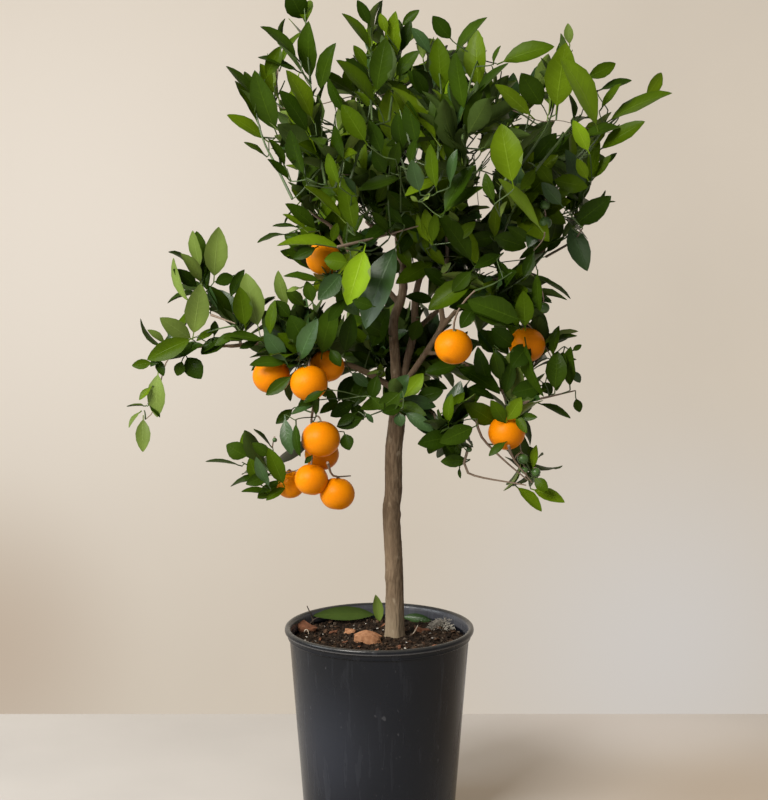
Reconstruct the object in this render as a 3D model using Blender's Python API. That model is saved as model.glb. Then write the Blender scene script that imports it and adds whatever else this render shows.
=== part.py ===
"""A small calamondin orange tree, standing in its black nursery pot.

Metres, +Z up. The origin is the centre of the pot's flat underside. The view that shows
the long left arm to the left looks along +Y, so +X is that view's right.
"""

import math
import random

import bmesh
import bpy
from mathutils import Matrix, Vector

GAP = 0.0003  # kept between neighbours that touch

# Pot, a plain turned shell with a rolled lip
POT_HEIGHT = 0.2125
RIM_RADIUS = 0.100
RIM_DEPTH = 0.0058
COLLAR_RADIUS = 0.0970  # the band under the lip
COLLAR_DEPTH = 0.0112
LIP_ROLL = 0.0030  # how far the lip's inner edge slopes down to the wall
WALL_TOP_RADIUS = 0.0950
WALL_FOOT_RADIUS = 0.0800
WALL = 0.0024
FLOOR = 0.0030
FOOT_BEVEL = 0.0030
POT_SIDES = 40
DRAIN_HOLES = 8
DRAIN_RADIUS = 0.0060
DRAIN_RING = 0.0580

# Soil, a little below the lip, with a level seat round the trunk
SOIL_SEAT = 0.1970
SOIL_EDGE = 0.1945
SOIL_SIDES = 28
SOIL_BUMP = 0.0016

# Trunk and limbs: (x, y, z) of the centre line from foot to tip, and the radii there
TRUNK_ROUTE = [
    (0.0160, 0.0100, SOIL_SEAT + GAP),
    (0.0163, 0.0100, 0.2480),
    (0.0150, 0.0105, 0.2900),
    (0.0126, 0.0100, 0.3330),
    (0.0148, 0.0095, 0.3560),
    (0.0153, 0.0100, 0.3970),
    (0.0182, 0.0100, 0.4250),
    (0.0215, 0.0100, 0.4760),
]
TRUNK_RADII = (0.0099, 0.0089)
TRUNK_SIDES = 16
TRUNK_STEP = 0.017
FLARE = 0.24  # how much wider the foot is than the trunk
FLARE_HEIGHT = 0.010
FLARE_LOBES = 5

LIMB_SIDES = 8
LIMB_STEP = 0.022

# name: (parent limbs, radius at the foot, radius at the tip, route)
LIMBS = {
    "leader_left": (
        ["trunk"], 0.0056, 0.0042,
        [(0.0185, 0.010, 0.466), (0.0165, 0.010, 0.500), (0.0150, 0.010, 0.535), (0.0250, 0.012, 0.569),
         (0.0200, 0.014, 0.622)],
    ),
    "leader_middle": (
        ["trunk", "leader_left"], 0.0044, 0.0032,
        [(0.0240, 0.012, 0.468), (0.0290, 0.015, 0.492), (0.0370, 0.018, 0.526), (0.0380, 0.024, 0.560),
         (0.0520, 0.032, 0.612)],
    ),
    "leader_right": (
        ["trunk", "leader_left", "leader_middle"], 0.0034, 0.0024,
        [(0.0240, 0.007, 0.467), (0.0360, 0.002, 0.484), (0.0550, -0.004, 0.514), (0.0650, -0.006, 0.533),
         (0.0640, -0.006, 0.556), (0.0700, -0.008, 0.602)],
    ),
    "bough_right_upper": (
        ["leader_right"], 0.0027, 0.0018,
        [(0.0625, -0.006, 0.527), (0.0840, -0.008, 0.552), (0.1020, -0.008, 0.568), (0.1380, -0.004, 0.588),
         (0.1700, 0.000, 0.609)],
    ),
    "bough_left_arm": (
        ["trunk", "leader_left"], 0.0036, 0.0026,
        [(0.0180, 0.008, 0.462), (-0.0060, 0.000, 0.478), (-0.0300, -0.006, 0.490), (-0.0560, -0.008, 0.496)],
    ),
    "bough_left_arm_outer": (
        [], 0.0026, 0.0017,
        [(-0.0960, -0.006, 0.504), (-0.1180, -0.004, 0.513), (-0.1500, -0.002, 0.510), (-0.1860, 0.000, 0.509),
         (-0.2060, 0.000, 0.502)],
    ),
    "bough_left_upper": (
        ["leader_left"], 0.0032, 0.0024,
        [(0.0210, 0.011, 0.552), (0.0040, 0.014, 0.572), (-0.0240, 0.020, 0.598), (-0.0500, 0.024, 0.632)],
    ),
    "bough_back_left": (
        ["leader_left"], 0.0030, 0.0022,
        [(0.0160, 0.010, 0.524), (0.0020, 0.036, 0.540), (-0.0200, 0.066, 0.560), (-0.0360, 0.090, 0.578)],
    ),
    "bough_back_right": (
        ["leader_middle"], 0.0030, 0.0022,
        [(0.0360, 0.018, 0.522), (0.0520, 0.044, 0.534), (0.0700, 0.068, 0.548), (0.0860, 0.090, 0.566)],
    ),
    "bough_right_lower": (
        ["leader_right"], 0.0024, 0.0016,
        [(0.0480, -0.002, 0.503), (0.0740, -0.008, 0.500), (0.1000, -0.012, 0.484), (0.1270, -0.012, 0.464)],
    ),
    "bough_left_lower": (
        [], 0.0022, 0.0016,
        [(-0.0560, -0.014, 0.478), (-0.0660, -0.018, 0.456), (-0.0700, -0.018, 0.436)],
    ),
    "bough_skirt": (
        ["trunk"], 0.0024, 0.0018,
        [(0.0200, 0.010, 0.444), (0.0400, 0.000, 0.446), (0.0560, -0.006, 0.440)],
    ),
}

# Foliage, one uneven solid for each mass: (centre, half width, half depth, half height) and
# the tips of the leaves that stand out furthest from it
MASSES = {
    "foliage_top_left": ((-0.103, -0.004, 0.768), 0.050, 0.080, 0.076, [
        (-0.090, 0.000, 0.868), (-0.119, -0.010, 0.834), (-0.154, 0.000, 0.792), (-0.064, -0.012, 0.836),
        (-0.155, -0.020, 0.745)]),
    "foliage_top_middle": ((-0.018, -0.002, 0.776), 0.050, 0.086, 0.072, [
        (-0.014, 0.010, 0.866), (-0.036, -0.020, 0.846), (0.004, 0.000, 0.848)]),
    "foliage_top": ((0.055, -0.004, 0.770), 0.046, 0.088, 0.072, [
        (0.041, 0.000, 0.851), (0.066, -0.020, 0.844)]),
    "foliage_top_right": ((0.118, 0.004, 0.762), 0.042, 0.086, 0.070, [
        (0.110, 0.000, 0.845), (0.124, 0.030, 0.816)]),
    "foliage_right_dome": ((0.180, 0.002, 0.748), 0.042, 0.080, 0.066, [
        (0.191, -0.010, 0.833), (0.173, 0.010, 0.818), (0.228, 0.010, 0.791)]),
    "foliage_right_tip": ((0.236, 0.004, 0.738), 0.034, 0.052, 0.034, [
        (0.297, 0.000, 0.769), (0.256, 0.016, 0.782), (0.272, -0.010, 0.737)]),
    "foliage_left_shoulder": ((-0.068, -0.006, 0.668), 0.034, 0.088, 0.048, [
        (-0.106, -0.020, 0.706), (-0.118, 0.006, 0.624), (-0.102, -0.030, 0.642)]),
    "foliage_heart_left": ((-0.014, -0.014, 0.660), 0.052, 0.100, 0.058, []),
    "foliage_heart_right": ((0.072, -0.006, 0.660), 0.052, 0.104, 0.058, []),
    "foliage_right_inner": ((0.144, 0.000, 0.660), 0.044, 0.092, 0.054, []),
    "foliage_right_shoulder": ((0.204, 0.006, 0.666), 0.034, 0.070, 0.050, [
        (0.239, 0.000, 0.666), (0.214, -0.016, 0.588), (0.246, 0.020, 0.704)]),
    "foliage_front_left": ((-0.050, -0.118, 0.712), 0.064, 0.054, 0.066, [
        (-0.070, -0.180, 0.742), (-0.084, -0.160, 0.688)]),
    "foliage_front_right": ((0.084, -0.120, 0.712), 0.078, 0.054, 0.066, [
        (0.100, -0.186, 0.744), (0.048, -0.176, 0.694)]),
    "foliage_back_left": ((-0.058, 0.128, 0.724), 0.080, 0.070, 0.076, [
        (-0.080, 0.212, 0.752), (-0.138, 0.150, 0.720)]),
    "foliage_back_right": ((0.102, 0.130, 0.722), 0.088, 0.070, 0.074, [
        (0.120, 0.216, 0.748), (0.194, 0.150, 0.712)]),
    "foliage_back_low_left": ((-0.050, 0.108, 0.604), 0.072, 0.066, 0.062, [
        (-0.110, 0.140, 0.588), (-0.040, 0.186, 0.600)]),
    "foliage_back_low_right": ((0.104, 0.108, 0.598), 0.086, 0.066, 0.066, [
        (0.190, 0.130, 0.580), (0.110, 0.188, 0.600)]),
    "foliage_front_low_left": ((-0.052, -0.060, 0.592), 0.050, 0.052, 0.044, [
        (-0.016, -0.116, 0.548), (-0.096, -0.070, 0.606)]),
    "foliage_right_middle": ((0.128, -0.028, 0.568), 0.056, 0.070, 0.044, [
        (0.199, -0.010, 0.560), (0.090, -0.098, 0.552)]),
    "foliage_right_outer": ((0.168, 0.000, 0.503), 0.045, 0.052, 0.038, [
        (0.212, 0.000, 0.508), (0.208, 0.010, 0.470)]),
    "foliage_left_low": ((-0.078, -0.010, 0.507), 0.052, 0.070, 0.047, [
        (-0.028, -0.040, 0.540), (-0.060, -0.084, 0.496), (-0.130, -0.026, 0.482)]),
    "foliage_arm_upper": ((-0.184, 0.000, 0.572), 0.030, 0.038, 0.046, [
        (-0.166, -0.008, 0.631), (-0.196, 0.006, 0.630), (-0.212, 0.000, 0.612)]),
    "foliage_arm_middle": ((-0.142, 0.000, 0.534), 0.030, 0.038, 0.034, [
        (-0.140, 0.010, 0.578), (-0.130, -0.010, 0.570)]),
    "foliage_arm_tip": ((-0.222, 0.000, 0.508), 0.030, 0.036, 0.030, [
        (-0.254, -0.006, 0.512), (-0.240, 0.012, 0.540), (-0.234, 0.000, 0.468)]),
    "foliage_weeping_tip": ((-0.243, 0.000, 0.444), 0.014, 0.018, 0.044, [
        (-0.247, 0.002, 0.400), (-0.262, 0.000, 0.424), (-0.230, 0.000, 0.490)]),
    "foliage_fruit_left": ((-0.064, -0.022, 0.405), 0.036, 0.040, 0.050, [
        (-0.040, -0.020, 0.344), (-0.034, -0.024, 0.444)]),
    "foliage_left_foot": ((-0.122, -0.006, 0.392), 0.032, 0.038, 0.034, [
        (-0.182, 0.000, 0.388), (-0.106, 0.000, 0.344), (-0.142, 0.006, 0.424)]),
    "foliage_fork_front": ((0.010, -0.025, 0.454), 0.030, 0.029, 0.028, [
        (0.010, -0.070, 0.430), (0.032, -0.056, 0.474)]),
    "foliage_skirt": ((0.072, -0.012, 0.428), 0.038, 0.054, 0.036, [
        (0.088, -0.020, 0.368), (0.060, -0.072, 0.420)]),
    "foliage_back_skirt": ((0.024, 0.078, 0.494), 0.092, 0.048, 0.056, [
        (-0.070, 0.100, 0.470), (0.040, 0.132, 0.480), (0.116, 0.100, 0.460)]),
    "foliage_right_low": ((0.140, -0.012, 0.440), 0.044, 0.050, 0.038, [
        (0.110, -0.046, 0.396), (0.190, 0.000, 0.440)]),
    "foliage_right_foot": ((0.160, -0.006, 0.380), 0.026, 0.034, 0.032, [
        (0.196, 0.000, 0.352), (0.172, -0.010, 0.337), (0.122, -0.006, 0.364)]),
}
MASS_SIDES = 13
MASS_RINGS = 8
LUMPS = 7  # bulges on each mass
LUMP_HEIGHT = 0.20  # of the mass's own radius
LUMP_SHARPNESS = 6
TIP_SHARPNESS = 16

COLOURS = {
    "pot": ((0.022, 0.024, 0.028), 0.45),
    "soil": ((0.045, 0.028, 0.018), 0.95),
    "bark": ((0.180, 0.130, 0.090), 0.85),
    "leaf": ((0.050, 0.130, 0.025), 0.45),
}


def clear_scene():
    for item in list(bpy.data.objects):
        bpy.data.objects.remove(item)


def finish(name):
    """The material of one finish, made when it is first asked for."""
    if name in bpy.data.materials:
        return bpy.data.materials[name]
    material = bpy.data.materials.new(name)
    material.use_nodes = True
    shader = material.node_tree.nodes["Principled BSDF"]
    colour, roughness = COLOURS[name]
    shader.inputs["Base Color"].default_value = (*colour, 1.0)
    shader.inputs["Roughness"].default_value = roughness
    shader.inputs["Metallic"].default_value = 0.0
    return material


def add_object(name, bm, material):
    bmesh.ops.recalc_face_normals(bm, faces=bm.faces)
    mesh = bpy.data.meshes.new(name)
    bm.to_mesh(mesh)
    bm.free()
    mesh.shade_smooth()
    mesh.set_sharp_from_angle(angle=math.radians(40))
    item = bpy.data.objects.new(name, mesh)
    bpy.context.collection.objects.link(item)
    item.data.materials.append(finish(material))
    return item


def make_cutter(item):
    item.hide_render = True
    item.display_type = "WIRE"
    return item


def cut(item, cutter):
    change = item.modifiers.new("Cut by " + cutter.name, "BOOLEAN")
    change.operation = "DIFFERENCE"
    change.solver = "EXACT"
    change.object = cutter


def ring_of(bm, places):
    return [bm.verts.new(place) for place in places]


def join_rings(bm, lower, upper):
    for i in range(len(lower)):
        after = (i + 1) % len(lower)
        bm.faces.new((lower[i], lower[after], upper[after], upper[i]))


def close_ring(bm, ring, centre):
    middle = bm.verts.new(centre)
    for i in range(len(ring)):
        bm.faces.new((ring[i], ring[(i + 1) % len(ring)], middle))


# Pot


def pot_outline():
    """(radius, height) from the middle of the underside, up the outside, over the lip and down inside."""
    wall_inside = WALL_TOP_RADIUS - WALL
    lip_foot = POT_HEIGHT - RIM_DEPTH
    collar_foot = POT_HEIGHT - COLLAR_DEPTH
    return [
        (WALL_FOOT_RADIUS - FOOT_BEVEL, 0.0),
        (WALL_FOOT_RADIUS, FOOT_BEVEL),
        (WALL_TOP_RADIUS, collar_foot - 0.0010),
        (COLLAR_RADIUS, collar_foot),
        (COLLAR_RADIUS + 0.0008, lip_foot),
        (RIM_RADIUS, lip_foot + 0.0014),
        (RIM_RADIUS, POT_HEIGHT - 0.0020),
        (RIM_RADIUS - 0.0014, POT_HEIGHT),
        (RIM_RADIUS - 0.0046, POT_HEIGHT),
        (wall_inside, POT_HEIGHT - LIP_ROLL),
        (WALL_FOOT_RADIUS - WALL, FLOOR),
    ]


def turned(bm, outline, sides):
    """A solid turned round the Z axis, closed by flat discs at both ends of its outline."""
    rings = []
    for radius, height in outline:
        angles = [math.tau * i / sides for i in range(sides)]
        rings.append(ring_of(bm, [(radius * math.cos(a), radius * math.sin(a), height) for a in angles]))
    for lower, upper in zip(rings, rings[1:]):
        join_rings(bm, lower, upper)
    for ring, (_, height) in ((rings[0], outline[0]), (rings[-1], outline[-1])):
        close_ring(bm, ring, (0.0, 0.0, height))


def build_pot():
    bm = bmesh.new()
    turned(bm, pot_outline(), POT_SIDES)
    pot = add_object("pot", bm, "pot")
    holes = bmesh.new()
    for i in range(DRAIN_HOLES):
        angle = math.tau * (i + 0.5) / DRAIN_HOLES
        place = Matrix.Translation((DRAIN_RING * math.cos(angle), DRAIN_RING * math.sin(angle), FLOOR / 2))
        bmesh.ops.create_cone(
            holes, cap_ends=True, segments=10, radius1=DRAIN_RADIUS, radius2=DRAIN_RADIUS,
            depth=FLOOR * 3, matrix=place,
        )
    cut(pot, make_cutter(add_object("drain_hole_cutter", holes, "pot")))


# Soil


def soil_radius_at(height):
    """The pot's inner radius at this height, less the gap."""
    share = (height - FLOOR) / (POT_HEIGHT - LIP_ROLL - FLOOR)
    inside_foot = WALL_FOOT_RADIUS - WALL
    inside_top = WALL_TOP_RADIUS - WALL
    facet = math.cos(math.pi / POT_SIDES)  # the pot's flat sides come this much nearer
    return (inside_foot + share * (inside_top - inside_foot)) * facet - 2 * GAP


def build_soil():
    draw = random.Random(5)
    foot = Vector((TRUNK_ROUTE[0][0], TRUNK_ROUTE[0][1], 0.0))
    edge_radius = soil_radius_at(SOIL_EDGE)
    shares = [0.19, 0.34, 0.52, 0.70, 0.86, 1.0]
    bm = bmesh.new()
    rings = []
    for number, share in enumerate(shares):
        centre = foot * (1 - share)
        uneven = 0 < number < len(shares) - 1
        places = []
        for i in range(SOIL_SIDES):
            angle = math.tau * i / SOIL_SIDES
            height = SOIL_SEAT + (SOIL_EDGE - SOIL_SEAT) * share
            if number == 0:
                height = SOIL_SEAT
            if uneven:
                height += draw.uniform(-1, 1) * SOIL_BUMP
            out = Vector((math.cos(angle), math.sin(angle), 0.0)) * edge_radius * share
            places.append(centre + out + Vector((0.0, 0.0, height)))
        rings.append(ring_of(bm, places))
    foot_radius = soil_radius_at(FLOOR)
    rings.append(ring_of(bm, [
        (
            foot_radius * math.cos(math.tau * i / SOIL_SIDES),
            foot_radius * math.sin(math.tau * i / SOIL_SIDES),
            FLOOR + GAP,
        )
        for i in range(SOIL_SIDES)
    ]))
    close_ring(bm, rings[0], foot + Vector((0.0, 0.0, SOIL_SEAT)))
    for inner, outer in zip(rings, rings[1:]):
        join_rings(bm, inner, outer)
    close_ring(bm, rings[-1], (0.0, 0.0, FLOOR + GAP))
    add_object("soil", bm, "soil")


# Trunk and limbs


def smooth_route(points, step):
    """Points about a step apart on a smooth curve through the given ones, and how far along each is, 0 to 1."""
    points = [Vector(p) for p in points]
    ends = [2 * points[0] - points[1]] + points + [2 * points[-1] - points[-2]]
    route = [points[0]]
    for i in range(1, len(points)):
        p0, p1, p2, p3 = ends[i - 1:i + 3]
        pieces = max(1, round((p2 - p1).length / step))
        for k in range(1, pieces + 1):
            t = k / pieces
            route.append(0.5 * (
                2 * p1 + (p2 - p0) * t + (2 * p0 - 5 * p1 + 4 * p2 - p3) * t * t
                + (3 * p1 - p0 - 3 * p2 + p3) * t ** 3
            ))
    lengths = [0.0]
    for before, after in zip(route, route[1:]):
        lengths.append(lengths[-1] + (after - before).length)
    return route, [length / lengths[-1] for length in lengths]


def limb_rings(points, radii, sides, step, grow=0.0, flat_foot=False):
    """The cross sections of a tapering limb, square to its route. grow widens and lengthens it."""
    route, shares = smooth_route(points, step)
    side = Vector((1.0, 0.0, 0.0))
    rings = []
    for number, (place, share) in enumerate(zip(route, shares)):
        before = route[max(number - 1, 0)]
        after = route[min(number + 1, len(route) - 1)]
        along = (after - before).normalized()
        if flat_foot and number == 0:
            along = Vector((0.0, 0.0, 1.0))
        if number == 0 and not flat_foot:
            place = place - along * grow
        if number == len(route) - 1:
            place = place + along * grow
        side = (side - along * side.dot(along)).normalized()
        across = along.cross(side)
        radius = radii[0] + (radii[1] - radii[0]) * share + grow
        if flat_foot:
            radius *= 1 + FLARE * math.exp(-(place.z - route[0].z) / FLARE_HEIGHT)
        ring = []
        for i in range(sides):
            angle = math.tau * i / sides
            lobe = 1.0
            if flat_foot:
                fade = math.exp(-(place.z - route[0].z) / (2 * FLARE_HEIGHT))
                lobe += 0.07 * fade * math.cos(FLARE_LOBES * angle + 0.6)
            ring.append(place + (side * math.cos(angle) + across * math.sin(angle)) * radius * lobe)
        rings.append((ring, place))
    return rings


def add_limb(name, points, radii, sides, step, grow=0.0, flat_foot=False):
    bm = bmesh.new()
    sections = limb_rings(points, radii, sides, step, grow, flat_foot)
    rings = [ring_of(bm, places) for places, _ in sections]
    for lower, upper in zip(rings, rings[1:]):
        join_rings(bm, lower, upper)
    close_ring(bm, rings[0], sections[0][1])
    close_ring(bm, rings[-1], sections[-1][1])
    return add_object(name, bm, "bark")


def build_limbs():
    """The trunk and the limbs, each trimmed by what carries it, and a slightly larger cutter of each."""
    trunk = (TRUNK_ROUTE, TRUNK_RADII, TRUNK_SIDES, TRUNK_STEP)
    add_limb("trunk", *trunk, flat_foot=True)
    cutters = {"trunk": make_cutter(add_limb("trunk_cutter", *trunk, grow=GAP, flat_foot=True))}
    for name, (parents, foot_radius, tip_radius, route) in LIMBS.items():
        radii = (foot_radius, tip_radius)
        limb = add_limb(name, route, radii, LIMB_SIDES, LIMB_STEP)
        cutters[name] = make_cutter(add_limb(name + "_cutter", route, radii, LIMB_SIDES, LIMB_STEP, grow=GAP))
        for parent in parents:
            cut(limb, cutters[parent])
    return cutters


# Foliage


def reach(half, direction):
    """How far an ellipsoid with these half sizes reaches from its centre in this direction."""
    return 1.0 / math.sqrt(sum((direction[i] / half[i]) ** 2 for i in range(3)))


def planes_round(name):
    """(normal, offset) of the planes that part this mass from each of the others."""
    centre, *half, _ = MASSES[name]
    centre = Vector(centre)
    found = []
    for other, (other_centre, *other_half, _) in MASSES.items():
        if other == name:
            continue
        between = Vector(other_centre) - centre
        normal = between.normalized()
        near = reach(half, normal)
        far = reach(other_half, normal)
        share = near / (near + far)
        found.append((normal, normal.dot(centre + between * share) - GAP / 2))
    return found


def held_back(place, centre, planes):
    """The place, moved towards the centre until it is behind every plane."""
    out = place - centre
    share = 1.0
    for normal, offset in planes:
        height = normal.dot(out)
        room = offset - normal.dot(centre)
        if height > room:
            share = min(share, room / height)
    return centre + out * share


def add_mass(name, seed):
    centre, *half, tips = MASSES[name]
    centre = Vector(centre)
    draw = random.Random(seed)
    lumps = []
    for _ in range(LUMPS):
        lump = Vector([draw.gauss(0, 1) for _ in range(3)]).normalized()
        lumps.append((lump, draw.uniform(0.4, 1.0) * LUMP_HEIGHT))
    bm = bmesh.new()
    bmesh.ops.create_uvsphere(bm, u_segments=MASS_SIDES, v_segments=MASS_RINGS, radius=1.0)
    turn = Matrix.Rotation(draw.uniform(0, math.tau), 3, "Z")
    spikes = []
    for tip in tips:
        towards = Vector(tip) - centre
        spikes.append((towards.normalized(), towards.length / reach(half, towards.normalized()) - 1))
    for vert in bm.verts:
        direction = (turn @ vert.co).normalized()
        swell = 0.96 + sum(height * max(0.0, direction.dot(lump)) ** LUMP_SHARPNESS for lump, height in lumps)
        for towards, height in spikes:
            share = max(0.0, direction.dot(towards)) ** TIP_SHARPNESS
            swell += (1 + height - swell) * share
        vert.co = centre + direction * reach(half, direction) * swell * draw.uniform(0.96, 1.04)
    bm.verts.ensure_lookup_table()
    taken = set()
    for tip in tips:
        tip = Vector(tip)
        towards = (tip - centre).normalized()
        free = [v for v in bm.verts if v.index not in taken]
        nearest = max(free, key=lambda v: (v.co - centre).normalized().dot(towards))
        taken.add(nearest.index)
        nearest.co = tip
    planes = planes_round(name)
    for vert in bm.verts:
        vert.co = held_back(vert.co, centre, planes)
    bmesh.ops.triangulate(bm, faces=bm.faces)
    return add_object(name, bm, "leaf")


def boxes_meet(a, b):
    def corners(item):
        return [[v.co[i] for v in item.data.vertices] for i in range(3)]

    for mine, theirs in zip(corners(a), corners(b)):
        if min(mine) > max(theirs) or min(theirs) > max(mine):
            return False
    return True


def build_foliage(cutters):
    for number, name in enumerate(MASSES):
        mass = add_mass(name, seed=100 + number)
        for cutter in cutters.values():
            if boxes_meet(mass, cutter):
                cut(mass, cutter)


clear_scene()
build_pot()
build_soil()
build_foliage(build_limbs())
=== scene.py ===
import math
import random

import bpy
import numpy as np
from mathutils import Matrix, Vector, noise
from mathutils.bvhtree import BVHTree


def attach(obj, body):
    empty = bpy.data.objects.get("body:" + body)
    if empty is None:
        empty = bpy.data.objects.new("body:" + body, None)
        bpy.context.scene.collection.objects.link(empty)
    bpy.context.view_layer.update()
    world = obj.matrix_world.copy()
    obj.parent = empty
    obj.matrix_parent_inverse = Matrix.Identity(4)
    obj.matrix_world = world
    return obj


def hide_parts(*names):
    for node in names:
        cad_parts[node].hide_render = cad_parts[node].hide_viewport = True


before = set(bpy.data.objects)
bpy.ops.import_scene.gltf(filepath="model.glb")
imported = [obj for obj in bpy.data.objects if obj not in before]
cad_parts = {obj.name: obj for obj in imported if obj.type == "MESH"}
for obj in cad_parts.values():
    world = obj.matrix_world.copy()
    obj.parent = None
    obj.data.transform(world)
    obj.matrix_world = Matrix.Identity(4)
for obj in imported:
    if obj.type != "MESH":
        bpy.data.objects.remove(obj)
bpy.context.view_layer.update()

up = np.array([0.0, 0.0, 1.0])

# Small helpers


def deselectAll():
    if bpy.context.object and bpy.context.object.mode != "OBJECT":
        bpy.ops.object.mode_set(mode="OBJECT")
    bpy.ops.object.select_all(action="DESELECT")


def startPiece(name):
    piece = bpy.context.object
    piece.name = name
    piece.data.name = name
    return piece


def makeActive(piece):
    deselectAll()
    piece.select_set(True)
    bpy.context.view_layer.objects.active = piece


def addModifier(piece, kind, **settings):
    makeActive(piece)
    modifier = piece.modifiers.new(kind, kind)
    for key, value in settings.items():
        setattr(modifier, key, value)
    bpy.ops.object.modifier_apply(modifier=modifier.name)


def bakePlace(piece):
    makeActive(piece)
    bpy.ops.object.transform_apply(location=True, rotation=True, scale=True)


def finishPiece(piece, smoothing, materials, nodes=()):
    # smooth shading up to an angle in degrees, materials, a place under the root, and the solids it stands
    # for hidden
    makeActive(piece)
    bpy.ops.object.shade_smooth_by_angle(angle=math.radians(smoothing))
    for material in materials:
        piece.data.materials.append(material)
    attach(piece, "root")
    if nodes:
        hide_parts(*nodes)


def turnedPiece(name, profile, sides):
    # a closed turned shape: rings of (radius, height), each extruded from the last
    radius, height = profile[0]
    deselectAll()
    bpy.ops.mesh.primitive_circle_add(
        vertices=sides, radius=radius, fill_type="NGON", location=(0, 0, height))
    piece = startPiece(name)
    bpy.ops.object.mode_set(mode="EDIT")
    bpy.ops.mesh.select_all(action="SELECT")
    for nextRadius, nextHeight in profile[1:]:
        bpy.ops.mesh.extrude_region_move(TRANSFORM_OT_translate={"value": (0, 0, nextHeight - height)})
        share = nextRadius / radius
        bpy.ops.transform.resize(value=(share, share, 1), center_override=(0, 0, nextHeight))
        radius, height = nextRadius, nextHeight
    bpy.ops.mesh.select_all(action="SELECT")
    bpy.ops.mesh.normals_make_consistent(inside=False)
    bakePlace(piece)
    return piece


def arrayPiece(name, points, corners, sizes, uvs=None, slots=None):
    # one mesh from arrays: points (n, 3), the corner numbers of all faces in a row, and each face's count
    mesh = bpy.data.meshes.new(name)
    mesh.vertices.add(len(points))
    mesh.vertices.foreach_set("co", np.asarray(points, np.float32).ravel())
    mesh.loops.add(len(corners))
    mesh.loops.foreach_set("vertex_index", np.asarray(corners, np.int32))
    mesh.polygons.add(len(sizes))
    starts = np.concatenate([[0], np.cumsum(sizes)[:-1]])
    for key, values in (("loop_start", starts), ("loop_total", sizes), ("material_index", slots)):
        if values is not None:
            mesh.polygons.foreach_set(key, np.asarray(values, np.int32))
    mesh.update(calc_edges=True)
    if uvs is not None:
        layer = mesh.uv_layers.new(name="leafMap")
        layer.data.foreach_set("uv", np.asarray(uvs, np.float32).ravel())
    mesh.validate()
    piece = bpy.data.objects.new(name, mesh)
    bpy.context.scene.collection.objects.link(piece)
    return piece


def pointsOf(mesh):
    return np.array([v.co[:] for v in mesh.vertices])


def shapePattern(addShape, cuts=0, **sizes):
    # the points and faces of a shape that is copied many times, without the object
    deselectAll()
    addShape(**sizes)
    shape = bpy.context.object
    if cuts:
        bpy.ops.object.mode_set(mode="EDIT")
        bpy.ops.mesh.select_all(action="SELECT")
        bpy.ops.mesh.subdivide(number_cuts=cuts)
        bpy.ops.object.mode_set(mode="OBJECT")
    points = pointsOf(shape.data)
    faces = [list(p.vertices) for p in shape.data.polygons]
    bpy.data.objects.remove(shape)
    return points, faces


def copyPattern(name, copies, faces, slots=None, uvs=None):
    # copies holds each copy's points, slots a number for each copy or for each of its faces, and uvs the
    # map of one copy
    flat = np.array([corner for face in faces for corner in face])
    corners = np.concatenate([flat + i * len(copies[0]) for i in range(len(copies))])
    sizes = [len(face) for face in faces] * len(copies)
    if slots is not None:
        slots = np.concatenate([np.broadcast_to(slot, len(faces)) for slot in slots])
    if uvs is not None:
        uvs = np.tile(uvs[flat], (len(copies), 1))
    return arrayPiece(name, np.concatenate(copies), corners, sizes, uvs, slots)


def unit(vectors):
    vectors = np.asarray(vectors, float)
    return vectors / np.maximum(np.linalg.norm(vectors, axis=-1, keepdims=True), 1e-12)


def smoothRoute(line, step):
    # a smooth curve through the points of a line, with a point about every step
    line = [np.array(p, float) for p in line]
    ends = [2 * line[0] - line[1]] + line + [2 * line[-1] - line[-2]]
    route = [line[0]]
    for i in range(1, len(line)):
        p0, p1, p2, p3 = ends[i - 1:i + 3]
        pieces = max(1, round(float(np.linalg.norm(p2 - p1)) / step))
        for k in range(1, pieces + 1):
            t = k / pieces
            route.append(0.5 * (
                2 * p1 + (p2 - p0) * t + (2 * p0 - 5 * p1 + 4 * p2 - p3) * t * t
                + (3 * p1 - p0 - 3 * p2 + p3) * t ** 3))
    return np.array(route)


def bendRoute(start, startWay, end, endWay, count, give=0.35):
    # a curve that leaves one way and arrives another
    reach = float(np.linalg.norm(end - start)) * give
    first = start + startWay * reach
    last = end - endWay * reach
    t = np.linspace(0, 1, count)[:, None]
    return (1 - t) ** 3 * start + 3 * (1 - t) ** 2 * t * first + 3 * (1 - t) * t * t * last + t ** 3 * end


def routeLength(route):
    return float(np.linalg.norm(np.diff(route, axis=0), axis=1).sum())


def rotation(*turns):
    # the matrix of turns in radians, each with its axis, of which the last is made first
    matrix = Matrix.Identity(3)
    for axis, turn in turns:
        matrix = matrix @ Matrix.Rotation(turn, 3, axis)
    return np.array(matrix)


# Camera, at the height and distance that give the pot's lip and sides as seen

view = {
    "height": 0.692,
    "distance": 1.8,
    "across": 0.005,
    "pitch": math.radians(7.56),
    "lens": 78.5,
    "sensor": 36.0,
}
eye = np.array([view["across"], -view["distance"], view["height"]])


def addCamera():
    data = bpy.data.cameras.new("camera")
    data.lens = view["lens"]
    data.sensor_width = view["sensor"]
    data.sensor_fit = "AUTO"
    data.clip_end = 50
    camera = bpy.data.objects.new("camera", data)
    camera.location = eye
    camera.rotation_euler = (math.radians(90) - view["pitch"], 0, 0)
    bpy.context.scene.collection.objects.link(camera)
    bpy.context.scene.camera = camera


def atDepth(x, z, depth):
    # a place measured on the tree's middle plane, moved along the line of sight to another depth
    flat = np.array([x, 0.0, z])
    return eye + (flat - eye) * (view["distance"] + depth) / view["distance"]


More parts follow.
